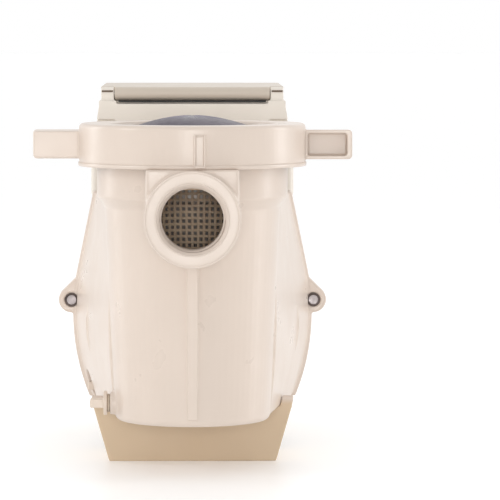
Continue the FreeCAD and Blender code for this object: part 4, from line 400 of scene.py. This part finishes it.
LOOKS = {
    "housing": moulded_plastic("almond_plastic", CREAM),
    # Foot: the body's colour above, darkened to tan lower down as painted shade.
    "foot": shaded_foot("almond_foot_plastic", PAINTED_SHADE_TAN, CREAM),
    "drive": moulded_plastic("drive_case_plastic", (0.74, 0.685, 0.61), 0.4),
    # The keypad cover is the drive case's plastic, made darker as painted shade on the cover's rounded front.
    "drive_cover_painted_shade": moulded_plastic("drive_cover_plastic", (0.56, 0.49, 0.41), 0.42),
    "cover": moulded_plastic("fan_cover_plastic", WARM_GREY, 0.38),
    "motor_foot": moulded_plastic("motor_foot_plastic", (0.66, 0.57, 0.47), 0.5, 0.00005),
    "plug": moulded_plastic("plug_plastic", (0.69, 0.585, 0.49), 0.34),
    "motor": painted_metal("motor_paint", (0.72, 0.64, 0.55)),
    "lid": clear_moulding("smoked_clear", (0.14, 0.12, 0.15)),
    # Tan basket plastic, made brighter than its own colour as painted light for the light that reaches the
    # basket through the lid and the port.
    "basket": matt_plastic("basket_plastic", (0.95, 0.7, 0.5), 0.55),
    "wet": matt_plastic("black_glass_filled", (0.035, 0.035, 0.04), 0.45),
    "rubber": rubber("seal_rubber"),
    "soft_seal": rubber("almond_seal", (0.5, 0.42, 0.33)),
    "shade": matt_plastic("hinge_shade", (0.13, 0.09, 0.06), 0.6),
    "steel": metal("stainless_steel", (0.6, 0.585, 0.57), 0.28),
    "bright": metal("zinc_plate", (0.46, 0.42, 0.42), 0.52, depth=0.00004),
    "bearing": metal("bearing_steel", (0.75, 0.75, 0.76), 0.14, (1, 12, 1)),
    "insert": metal("insert_steel", (0.16, 0.13, 0.12), 0.6),
    # Lighter colour on the lid's raised rays: painted glints over a moulded relief.
    "painted_glint": moulded_plastic("ray_painted_glint", (0.3, 0.28, 0.33), 0.22),
    "copper": metal("bare_copper", (0.6, 0.2, 0.12), 0.35),
    "shaft": metal("turned_steel", (0.62, 0.61, 0.6), 0.22, (1, 40, 1), 900, 0.00002),
    "core": stacked_steel("stacked_steel"),
    "magnet": metal("sintered_magnet", (0.2, 0.2, 0.21), 0.5),
    "winding": wound_copper("enamelled_wire"),
    "ceramic": matt_plastic("ceramic", (0.82, 0.79, 0.72), 0.3),
    "carbon": matt_plastic("carbon", (0.05, 0.05, 0.052), 0.42),
    "board": circuit_board("circuit_board"),
    "components": sleeved_parts("sleeved_parts"),
    "keypad": matt_plastic("keypad_overlay", (0.045, 0.048, 0.055), 0.42),
    "display": lit_display("display_glass"),
    "key": matt_plastic("grey_key", (0.45, 0.46, 0.47), 0.5),
    "start_key": matt_plastic("green_key", (0.03, 0.3, 0.09), 0.5),
    "ink": matt_plastic("white_ink", (0.8, 0.8, 0.78), 0.5),
    "segment": matt_plastic("display_segment", (0.02, 0.025, 0.02), 0.4),
}

# ------------------------------------------------------------------ pieces

SHARP_ANGLE = 35  # degrees between two faces, from which their edge gets a round

def add_object(name, mesh, look):
    piece = bpy.data.objects.new(name, mesh)
    SCENE.collection.objects.link(piece)
    mesh.materials.clear()
    mesh.materials.append(LOOKS[look])
    mesh.polygons.foreach_set("use_smooth", [True] * len(mesh.polygons))
    return piece


def settle(piece, body, slot, *nodes):
    """Puts a finished piece on its body, in place of the nodes it stands for."""
    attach(piece, body)
    if nodes:
        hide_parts(*nodes)
    return piece


def welded(names):
    """A bmesh of several nodes, with the seams between their faces closed."""
    shape = bmesh.new()
    for name in names:
        shape.from_mesh(NODES[name].data)
    bmesh.ops.remove_doubles(shape, verts=shape.verts, dist=2e-6)
    return shape


def to_mesh(name, shape):
    mesh = bpy.data.meshes.new(name)
    shape.to_mesh(mesh)
    shape.free()
    return mesh


def apply_modifiers(piece, look):
    """Replaces a piece's mesh by what its modifiers make of it."""
    bpy.context.view_layer.update()
    made = bpy.data.meshes.new_from_object(piece.evaluated_get(bpy.context.evaluated_depsgraph_get()))
    piece.modifiers.clear()
    old = piece.data
    piece.data = made
    bpy.data.meshes.remove(old)
    made.materials.clear()
    made.materials.append(LOOKS[look])
    made.polygons.foreach_set("use_smooth", [True] * len(made.polygons))


def moulded(name, nodes, look, slot, body="housing", voxel=1.2, rounds=3, keep=0.35, top=None):
    """One moulding made of CAD nodes, with the soft edges that a mould leaves, cut off above top."""
    shape = welded(nodes)
    if top is not None:
        everything = shape.verts[:] + shape.edges[:] + shape.faces[:]
        level = Vector((0, 0, top)) * MM
        bmesh.ops.bisect_plane(shape, geom=everything, plane_co=level, plane_no=(0, 0, 1), clear_outer=True)
        bmesh.ops.holes_fill(shape, edges=[edge for edge in shape.edges if edge.is_boundary])
    piece = add_object(name, to_mesh(name, shape), look)
    remesh = piece.modifiers.new("remesh", "REMESH")
    remesh.mode = "VOXEL"
    remesh.voxel_size = voxel * MM * COARSE
    remesh.use_smooth_shade = True
    smooth = piece.modifiers.new("smooth", "SMOOTH")
    smooth.factor = 0.5
    smooth.iterations = rounds
    decimate = piece.modifiers.new("decimate", "DECIMATE")
    decimate.ratio = keep
    apply_modifiers(piece, look)
    return settle(piece, body, slot, *nodes)


def round_edges(piece, look, width):
    """Puts small rounds on a piece's sharp edges."""
    bevel = piece.modifiers.new("bevel", "BEVEL")
    bevel.width = width * MM
    bevel.segments = 2
    bevel.limit_method = "ANGLE"
    bevel.angle_limit = math.radians(SHARP_ANGLE)
    piece.modifiers.new("normals", "WEIGHTED_NORMAL").keep_sharp = False
    apply_modifiers(piece, look)


def bevelled(name, nodes, look, slot, body="housing", width=0.4):
    """A copy of CAD nodes with small rounds on their sharp edges."""
    shape = welded(nodes)
    flat = math.radians(0.5)
    bmesh.ops.dissolve_limit(shape, angle_limit=flat, verts=shape.verts, edges=shape.edges)
    piece = add_object(name, to_mesh(name, shape), look)
    round_edges(piece, look, width)
    return settle(piece, body, slot, *nodes)


def paint(look, *names):
    """A better finish on CAD nodes that stay as they are."""
    for name in names:
        mesh = NODES[name].data
        mesh.materials.clear()
        mesh.materials.append(LOOKS[look])


# ------------------------------------------------------------------ shapes drawn from given points

AXIS_TURN = {"Z": Matrix.Identity(3), "Y": Matrix.Rotation(math.radians(-90), 3, "X")}


def lathe(shape, profile, centre, axis="Z", steps=96):
    """Turns a closed outline of (radius, along) points round an axis through centre, in millimetres."""
    turn = AXIS_TURN[axis]
    rows = []
    for i in range(steps):
        angle = 2 * math.pi * i / steps
        row = []
        for radius, height in profile:
            point = turn @ Vector((radius * math.cos(angle), radius * math.sin(angle), height))
            row.append(shape.verts.new((point + Vector(centre)) * MM))
        rows.append(row)
    count = len(profile)
    for i in range(steps):
        near, far = rows[i], rows[(i + 1) % steps]
        for j in range(count):
            k = (j + 1) % count
            shape.faces.new((near[j], far[j], far[k], near[k]))


def ring_bead(shape, radius, section, centre, axis="Z", steps=128):
    """A thin round bead along a circle."""
    angles = [math.radians(a) for a in range(0, 360, 45)]
    profile = [(radius + section * math.cos(a), section * math.sin(a)) for a in angles]
    lathe(shape, profile, centre, axis, steps)


def slab(shape, low, high, turn=0.0, centre=(0, 0)):
    """A box between two corners in millimetres, turned in plan about a centre, in degrees."""
    spin = Matrix.Rotation(math.radians(turn), 3, "Z")
    pivot = Vector((centre[0], centre[1], 0))
    size = Vector(high) - Vector(low)
    middle = (Vector(high) + Vector(low)) / 2
    place = Matrix.Translation((pivot + spin @ (middle - pivot)) * MM) @ spin.to_4x4()
    bmesh.ops.create_cube(shape, size=1, matrix=place @ Matrix.Diagonal((*(size * MM), 1)))


def thread_piece(name, centre, axis, direction, look="housing", slot="housing_plastic"):
    """The tapering ridges of a pipe thread, cut into a port's bore."""
    pitch, ridge, steps = 2.21, 1.15, 72
    turns = int((PORT_THREAD - 3) / pitch)
    turn = AXIS_TURN[axis]
    shape = bmesh.new()
    rows = []
    for i in range(turns * steps + 1):
        angle = 2 * math.pi * i / steps
        depth = PORT_MOUTH + pitch * i / steps
        fade = min(1, i / steps, (turns * steps - i) / steps)
        root = PORT_RADIUS + 0.15
        crest = PORT_RADIUS - ridge * fade
        row = []
        for radius, offset in ((root, -0.5), (crest, -0.08), (crest, 0.08), (root, 0.5)):
            height = direction * (depth + offset * pitch)
            point = turn @ Vector((radius * math.cos(angle), radius * math.sin(angle), height))
            row.append(shape.verts.new((point + Vector(centre)) * MM))
        rows.append(row)
    for near, far in zip(rows, rows[1:]):
        for j in range(3):
            shape.faces.new((near[j], near[j + 1], far[j + 1], far[j]))
    bmesh.ops.recalc_face_normals(shape, faces=shape.faces)
    return settle(add_object(name, to_mesh(name, shape), look), "housing", slot)


def basket_radius(height):
    """Outer radius of the basket at a height, from its taper."""
    share = (height - basket_low.z) / (basket_high.z - BASKET_RIM - basket_low.z)
    return BASKET_FOOT_RADIUS + (BASKET_TOP_RADIUS - BASKET_FOOT_RADIUS) * min(1, max(0, share))


def add_basket():
    """A moulded lattice with square holes and a window, a solid rim and a grid floor."""
    pitch, bar, wall = 5.9, 2.5, 2.4
    low = basket_low.z + 4
    rows = int((basket_high.z - 10 - low) / pitch)
    columns = 76
    top = low + rows * pitch
    shape = bmesh.new()

    def point(column, height):
        angle = 2 * math.pi * column / columns
        radius = basket_radius(height)
        place = Vector((radius * math.sin(angle), POT_Y - radius * math.cos(angle), height))
        return shape.verts.new(place * MM)

    corners = [[point(c, low + r * pitch) for c in range(columns)] for r in range(rows + 1)]
    near_side = bar / pitch / 2
    far_side = 1 - near_side
    hole = ((near_side, near_side), (far_side, near_side), (far_side, far_side), (near_side, far_side))
    for r in range(rows):
        for c in range(columns):
            middle = low + (r + 0.5) * pitch
            side = 2 * math.pi * min(c + 0.5, columns - c - 0.5) / columns * basket_radius(middle)
            if math.hypot(side, middle - PORT_Z) < BASKET_WINDOW:
                continue
            outer = [corners[r][c], corners[r][(c + 1) % columns]]
            outer += [corners[r + 1][(c + 1) % columns], corners[r + 1][c]]
            inner = [point(c + u, low + (r + v) * pitch) for u, v in hole]
            for k in range(4):
                n = (k + 1) % 4
                shape.faces.new((outer[k], outer[n], inner[n], inner[k]))
    mesh = to_mesh("basket_lattice", shape)
    lattice = add_object("basket_lattice", mesh, "basket")
    solid = lattice.modifiers.new("wall", "SOLIDIFY")
    solid.thickness = wall * MM
    solid.offset = -1
    apply_modifiers(lattice, "basket")
    settle(lattice, "housing", "basket_plastic", "strainer_basket")

    shape = bmesh.new()
    rim = basket_high.z
    outer = basket_high.x
    foot = basket_radius(low)
    band = basket_radius(top)
    floor = basket_low.z
    centre = (0, POT_Y, 0)
    rim_outline = [(outer, rim - 3), (outer, rim), (outer - 6, rim), (band - wall, rim - 3)]
    rim_outline += [(band - wall, top - 1), (band + 0.3, top - 1), (band + 0.3, rim - 4)]
    lathe(shape, rim_outline, centre)
    foot_outline = [(foot - 3, low + 1), (foot + 0.3, low + 1), (foot - 0.4, floor)]
    foot_outline += [(foot - 5, floor), (foot - 7, floor + wall)]
    lathe(shape, foot_outline, centre)
    ring_bead(shape, BASKET_WINDOW + 0.6, 1.4, (0, POT_Y - basket_radius(PORT_Z) + 9.5, PORT_Z), "Y")
    bars, bar_pitch, half_bar = 17, 7, 1.3
    for i in range(bars):
        place = (i - (bars - 1) / 2) * bar_pitch
        half = math.sqrt(max(0, (foot - 4) ** 2 - place**2))
        if half > 3:
            left, right = place - half_bar, place + half_bar
            slab(shape, (left, POT_Y - half, floor), (right, POT_Y + half, floor + wall))
            near, far = POT_Y + place - half_bar, POT_Y + place + half_bar
            slab(shape, (-half, near, floor + 0.1), (half, far, floor + 2.2))
    settle(add_object("basket_frame", to_mesh("basket_frame", shape), "basket"), "housing", "basket_plastic")


def dome_height(radius):
    """Height of the outside of the lid's dome at a distance from its centre."""
    return lid_top - DOME_CURVE + math.sqrt(DOME_CURVE**2 - radius**2)


def spoke(shape, angle, stations):
    """A bar out from the lid's centre, through stations of (radius, [(across, height), ...])."""
    along = Vector((math.cos(angle), math.sin(angle), 0))
    across = Vector((-math.sin(angle), math.cos(angle), 0))
    rows = []
    for radius, section in stations:
        base = Vector((0, POT_Y, 0)) + along * radius
        points = [base + across * side + Vector((0, 0, height)) for side, height in section]
        rows.append([shape.verts.new(point * MM) for point in points])
    count = len(rows[0])
    for near, far in zip(rows, rows[1:]):
        for j in range(count):
            n = (j + 1) % count
            shape.faces.new((near[j], near[n], far[n], far[j]))
    shape.faces.new(rows[0])
    shape.faces.new(rows[-1][::-1])


def add_lid_ribs():
    """Radial stiffening ribs and a centre disc on the underside of the lid's dome."""
    depth, half, hub = 3.2, 0.9, 11
    stations = []
    for k in range(9):
        radius = 10 + (DOME_FOOT - 14) * k / 8
        roof = dome_height(radius) - 4.6
        top_side = [(-half, roof), (half, roof)]
        low_side = [(half * 0.6, roof - depth), (-half * 0.6, roof - depth)]
        stations.append((radius, top_side + low_side))
    shape = bmesh.new()
    ribs = 28
    for i in range(ribs):
        spoke(shape, 2 * math.pi * i / ribs, stations)
    roof = lid_top - 4.7
    disc = [(0.5, roof), (hub, roof - 0.4), (hub, roof - 3.6), (0.5, roof - 3.6)]
    lathe(shape, disc, (0, POT_Y, 0), steps=48)
    bmesh.ops.recalc_face_normals(shape, faces=shape.faces)
    settle(add_object("lid_ribs", to_mesh("lid_ribs", shape), "lid"), "lid", "lid_clear")


def add_lid_rays():
    """Fine raised rays that stand just proud of the middle of the dome, coloured lighter than the lid as
    painted glints.
    """
    stations = []
    for k in range(6):
        radius = 8 + 24 * k / 5
        roof = dome_height(radius)
        half = 0.7 * (1 - k / 8)
        stations.append((radius, [(-half, roof - 0.3), (0, roof + 0.45 - 0.08 * k), (half, roof - 0.3)]))
    rays = bmesh.new()
    count = 40
    for i in range(count):
        spoke(rays, 2 * math.pi * i / count, stations)
    bmesh.ops.recalc_face_normals(rays, faces=rays.faces)
    settle(add_object("lid_rays", to_mesh("lid_rays", rays), "painted_glint"), "lid", "lid_clear")


def add_text(name, body, place, size, look, slot, ride):
    """Flat raised figures that lie on a face, read from the front of the pump."""
    data = bpy.data.curves.new(name, "FONT")
    data.body = body
    data.size = size * MM
    data.extrude = 0.08 * MM
    data.align_x = data.align_y = "CENTER"
    source = bpy.data.objects.new(name + "_source", data)
    SCENE.collection.objects.link(source)
    bpy.context.view_layer.update()
    mesh = bpy.data.meshes.new_from_object(source.evaluated_get(bpy.context.evaluated_depsgraph_get()))
    bpy.data.objects.remove(source)
    mesh.transform(Matrix.Translation(Vector(place) * MM))
    piece = add_object(name, mesh, look)
    mesh.polygons.foreach_set("use_smooth", [False] * len(mesh.polygons))
    return settle(piece, ride, slot)


def crisp(name, shape, look, slot, body="housing", width=0.5):
    """A piece drawn from given points, with small rounds on its edges."""
    bmesh.ops.recalc_face_normals(shape, faces=shape.faces)
    piece = add_object(name, to_mesh(name, shape), look)
    round_edges(piece, look, width)
    return settle(piece, body, slot)


def prism(shape, outline, half):
    """A block whose outline in the plane x = 0 is a list of (y, z), reaching half to each side."""
    left = [shape.verts.new(Vector((-half, y, z)) * MM) for y, z in outline]
    right = [shape.verts.new(Vector((half, y, z)) * MM) for y, z in outline]
    shape.faces.new(left)
    shape.faces.new(right[::-1])
    for i in range(len(outline)):
        k = (i + 1) % len(outline)
        shape.faces.new((left[i], left[k], right[k], right[i]))


def add_housing_details():
    """Crisp edges that stand on the soft moulding: the pot's rib, the boss's rim and the ring's lip."""
    rib = bmesh.new()
    top = PORT_Z - BOSS_RADIUS + 1
    foot = pot_low.z + 7
    back = POT_Y - 70
    prism(rib, [(POT_Y - 75.6, foot), (back, foot), (back, top), (POT_Y - 87.4, top)], 4.9)
    crisp("front_rib", rib, "housing", "housing_plastic", width=1.0)

    rim = bmesh.new()
    mouth = port_low.y
    centre = (0, 0, PORT_Z)
    inside, outside = BOSS_RADIUS - 1.6, BOSS_RADIUS + 0.25
    outer_bead = [(inside, mouth + 2), (inside, mouth + 0.1), (BOSS_RADIUS - 1.2, mouth + 0.02)]
    outer_bead += [(BOSS_RADIUS - 0.2, mouth + 0.02), (outside, mouth + 0.5), (outside, mouth + 2)]
    lathe(rim, outer_bead, centre, "Y", 160)
    inside, outside = PORT_RADIUS + 3.0, PORT_RADIUS + 4.2
    bore_bead = [(outside, mouth + 1.5), (outside, mouth + 0.05), (PORT_RADIUS + 3.4, mouth + 0.05)]
    bore_bead += [(inside, mouth + 0.4), (inside, mouth + 1.5)]
    lathe(rim, bore_bead, centre, "Y", 160)
    bmesh.ops.recalc_face_normals(rim, faces=rim.faces)
    settle(add_object("boss_rim", to_mesh("boss_rim", rim), "housing"), "housing", "housing_plastic")

    lip = bmesh.new()
    edge, low, high = RING_RADIUS, ring_low.z, ring_high.z
    lip_outline = [(edge - 4, low - 2.5), (edge + 0.2, low - 2.5), (edge + 0.9, low - 1.8)]
    lip_outline += [(edge + 0.9, low + 0.8), (edge + 0.2, low + 1.5), (edge - 4, low + 1.5)]
    lathe(lip, lip_outline, (0, POT_Y, 0), steps=192)
    bmesh.ops.recalc_face_normals(lip, faces=lip.faces)
    settle(add_object("ring_lip", to_mesh("ring_lip", lip), "housing"), "ring", "housing_plastic")

    mark = bmesh.new()
    front = POT_Y - edge
    near, far = front - 3, front + 2
    turn, pivot = MARK_TURN, (0, POT_Y)
    outer, inner = 5.2, 3.9
    for left, right in ((-outer, -inner), (inner, outer)):
        slab(mark, (left, near, low + 1), (right, far, high - 8), turn, pivot)
    slab(mark, (-outer, near, low - 1), (outer, far, low + 1.2), turn, pivot)
    crisp("ring_mark", mark, "housing", "housing_plastic", "ring", 0.4)


def add_drive_details():
    """Dark strips of painted shade at the back of the finger grooves under the cover, and over the hinge
    pins' slots above the ears.
    """
    top = cover_low.z - 0.4
    groove_shade = bmesh.new()
    half = 75
    for near, far in ((case_low.y + 1.4, case_low.y + 6), (case_high.y - 6, case_high.y - 1.4)):
        # Painted shade: a dark strip at the back of each finger groove.
        slab(groove_shade, (-half, near, top - 1.6), (half, far, top - 0.2))
    crisp("groove_painted_shade", groove_shade, "rubber", "seal_rubber", width=0.3)
    slot_shade = bmesh.new()
    ear = cover_low.y + 4.5
    inner, outer = 80.6, 92.0
    for left, right in ((-outer, -inner), (inner, outer)):
        # Painted shade: a dark slab where each hinge pin's slot sits.
        slab(slot_shade, (left, ear - 4.55, cover_high.z - 5.3), (right, ear + 1, cover_high.z - 3.5))
    crisp("hinge_slot_painted_shade", slot_shade, "shade", "drive_plastic", width=0.15)


# ------------------------------------------------------------------ the pump


def add_wet_end():
    body = ["strainer_pot", "suction_port", "volute_casing", "discharge_port"]
    moulded("wet_housing", body, "housing", "housing_plastic", voxel=1.15, rounds=5, keep=0.3)
    moulded("pump_base", ["pump_foot"], "foot", "housing_plastic", voxel=1.2, top=GUSSET_TOP)
    moulded("motor_side_plate", ["seal_plate"], "housing", "housing_plastic", voxel=1.1, keep=0.3)
    fine = {"voxel": 0.8, "rounds": 2, "keep": 0.3}
    moulded("locking_ring", ["clamp_ring"], "housing", "housing_plastic", "ring", **fine)
    add_housing_details()
    thread_piece("suction_thread", (0, port_low.y, PORT_Z), "Y", 1)
    thread_piece("discharge_thread", (0, DISCHARGE_Y, discharge_high.z), "Z", -1)
    paint("lid", "strainer_lid")
    add_lid_ribs()
    add_lid_rays()
    add_basket()
    for plug in ("pot", "volute"):
        name = plug + "_plug"
        moulded(name, [plug + "_drain_plug"], "plug", "plug_plastic", name, voxel=0.35, keep=0.4)
    paint("rubber", "lid_o_ring", "diffuser_o_ring", "seal_plate_o_ring", "shaft_slinger")
    paint("soft_seal", "pot_drain_o_ring", "volute_drain_o_ring")


def add_fasteners():
    bevelled("flange_bolt_set", ["flange_bolts"], "bright", "stainless", width=0.45)
    bevelled("flange_washer_set", ["flange_washers"], "steel", "stainless", width=0.25)
    bevelled("insert_set", ["threaded_inserts"], "insert", "brass", width=0.4)
    bevelled("cover_screw_set", ["fan_cover_screws"], "insert", "stainless", width=0.3)
    bevelled("case_screw_set", ["case_screws"], "steel", "stainless", width=0.25)
    bevelled("earth_lug", ["bonding_lug"], "copper", "copper", width=0.5)
    paint("steel", "hinge_pins", "impeller_screw")


def add_motor():
    moulded("front_bell", ["front_end_bell"], "motor", "motor_paint", voxel=1.1)
    moulded("rear_bell", ["rear_end_bell"], "motor", "motor_paint", voxel=1.1)
    bevelled("finned_shell", ["motor_shell"], "motor", "motor_paint", width=0.5)
    moulded("rear_cover", ["fan_cover"], "cover", "cover_plastic", voxel=0.8, rounds=2, keep=0.35)
    moulded("motor_stand", ["motor_foot"], "motor_foot", "foot_plastic", voxel=1.2)
    paint("shaft", "motor_shaft")
    paint("core", "stator_core", "rotor_core")
    paint("winding", "stator_windings")
    paint("magnet", "rotor_magnets")
    paint("bearing", "front_bearing_outer", "front_bearing_inner", "rear_bearing_outer", "rear_bearing_inner")
    paint("wet", "diffuser", "impeller", "cooling_fan")
    paint("ceramic", "seal_seat")
    paint("carbon", "seal_head")


def add_drive():
    moulded("drive_tray", ["drive_base", "conduit_entry"], "drive", "drive_plastic", voxel=1.0, keep=0.3)
    moulded("drive_top", ["drive_case"], "drive", "drive_plastic", voxel=0.8, rounds=2, keep=0.3)
    # The cover gets the darker copy of the drive plastic: painted shade.
    look, slot = "drive_cover_painted_shade", "drive_plastic"
    moulded("keypad_lid_cover", ["keypad_cover"], look, slot, "keypad_lid", voxel=0.8, keep=0.3)
    add_drive_details()
    paint("board", "drive_board")
    paint("components", "drive_components")
    bevelled("keypad_plate", ["keypad_panel"], "keypad", "keypad_plastic", width=0.3)
    paint("display", "display_window")
    labels = {f"speed_button_{number}": str(number) for number in (1, 2, 3, 4)}
    labels.update({"up_button": "+", "down_button": "-"})
    paint("key", *labels)
    paint("start_key", "start_stop_button")
    sunk = 0.02  # how far the figures reach into the key tops
    for key, label in labels.items():
        low, high = node_box(key)
        top = ((low.x + high.x) / 2, (low.y + high.y) / 2, high.z - sunk)
        add_text(key + "_figure", label, top, 6.5, "segment", "keypad_plastic", key + "_cap")
    low, high = node_box("start_stop_button")
    top = ((low.x + high.x) / 2, (low.y + high.y) / 2, high.z - sunk)
    add_text("start_figure", "0/1", top, 6, "ink", "keypad_plastic", "start_stop_button_cap")
    middle = (display_low + display_high) / 2
    glass = (middle.x, middle.y, display_high.z - 0.05)
    add_text("display_figures", "2400", glass, 19, "segment", "keypad_plastic", "housing")


add_camera()
add_studio()
add_wet_end()
add_fasteners()
add_motor()
add_drive()
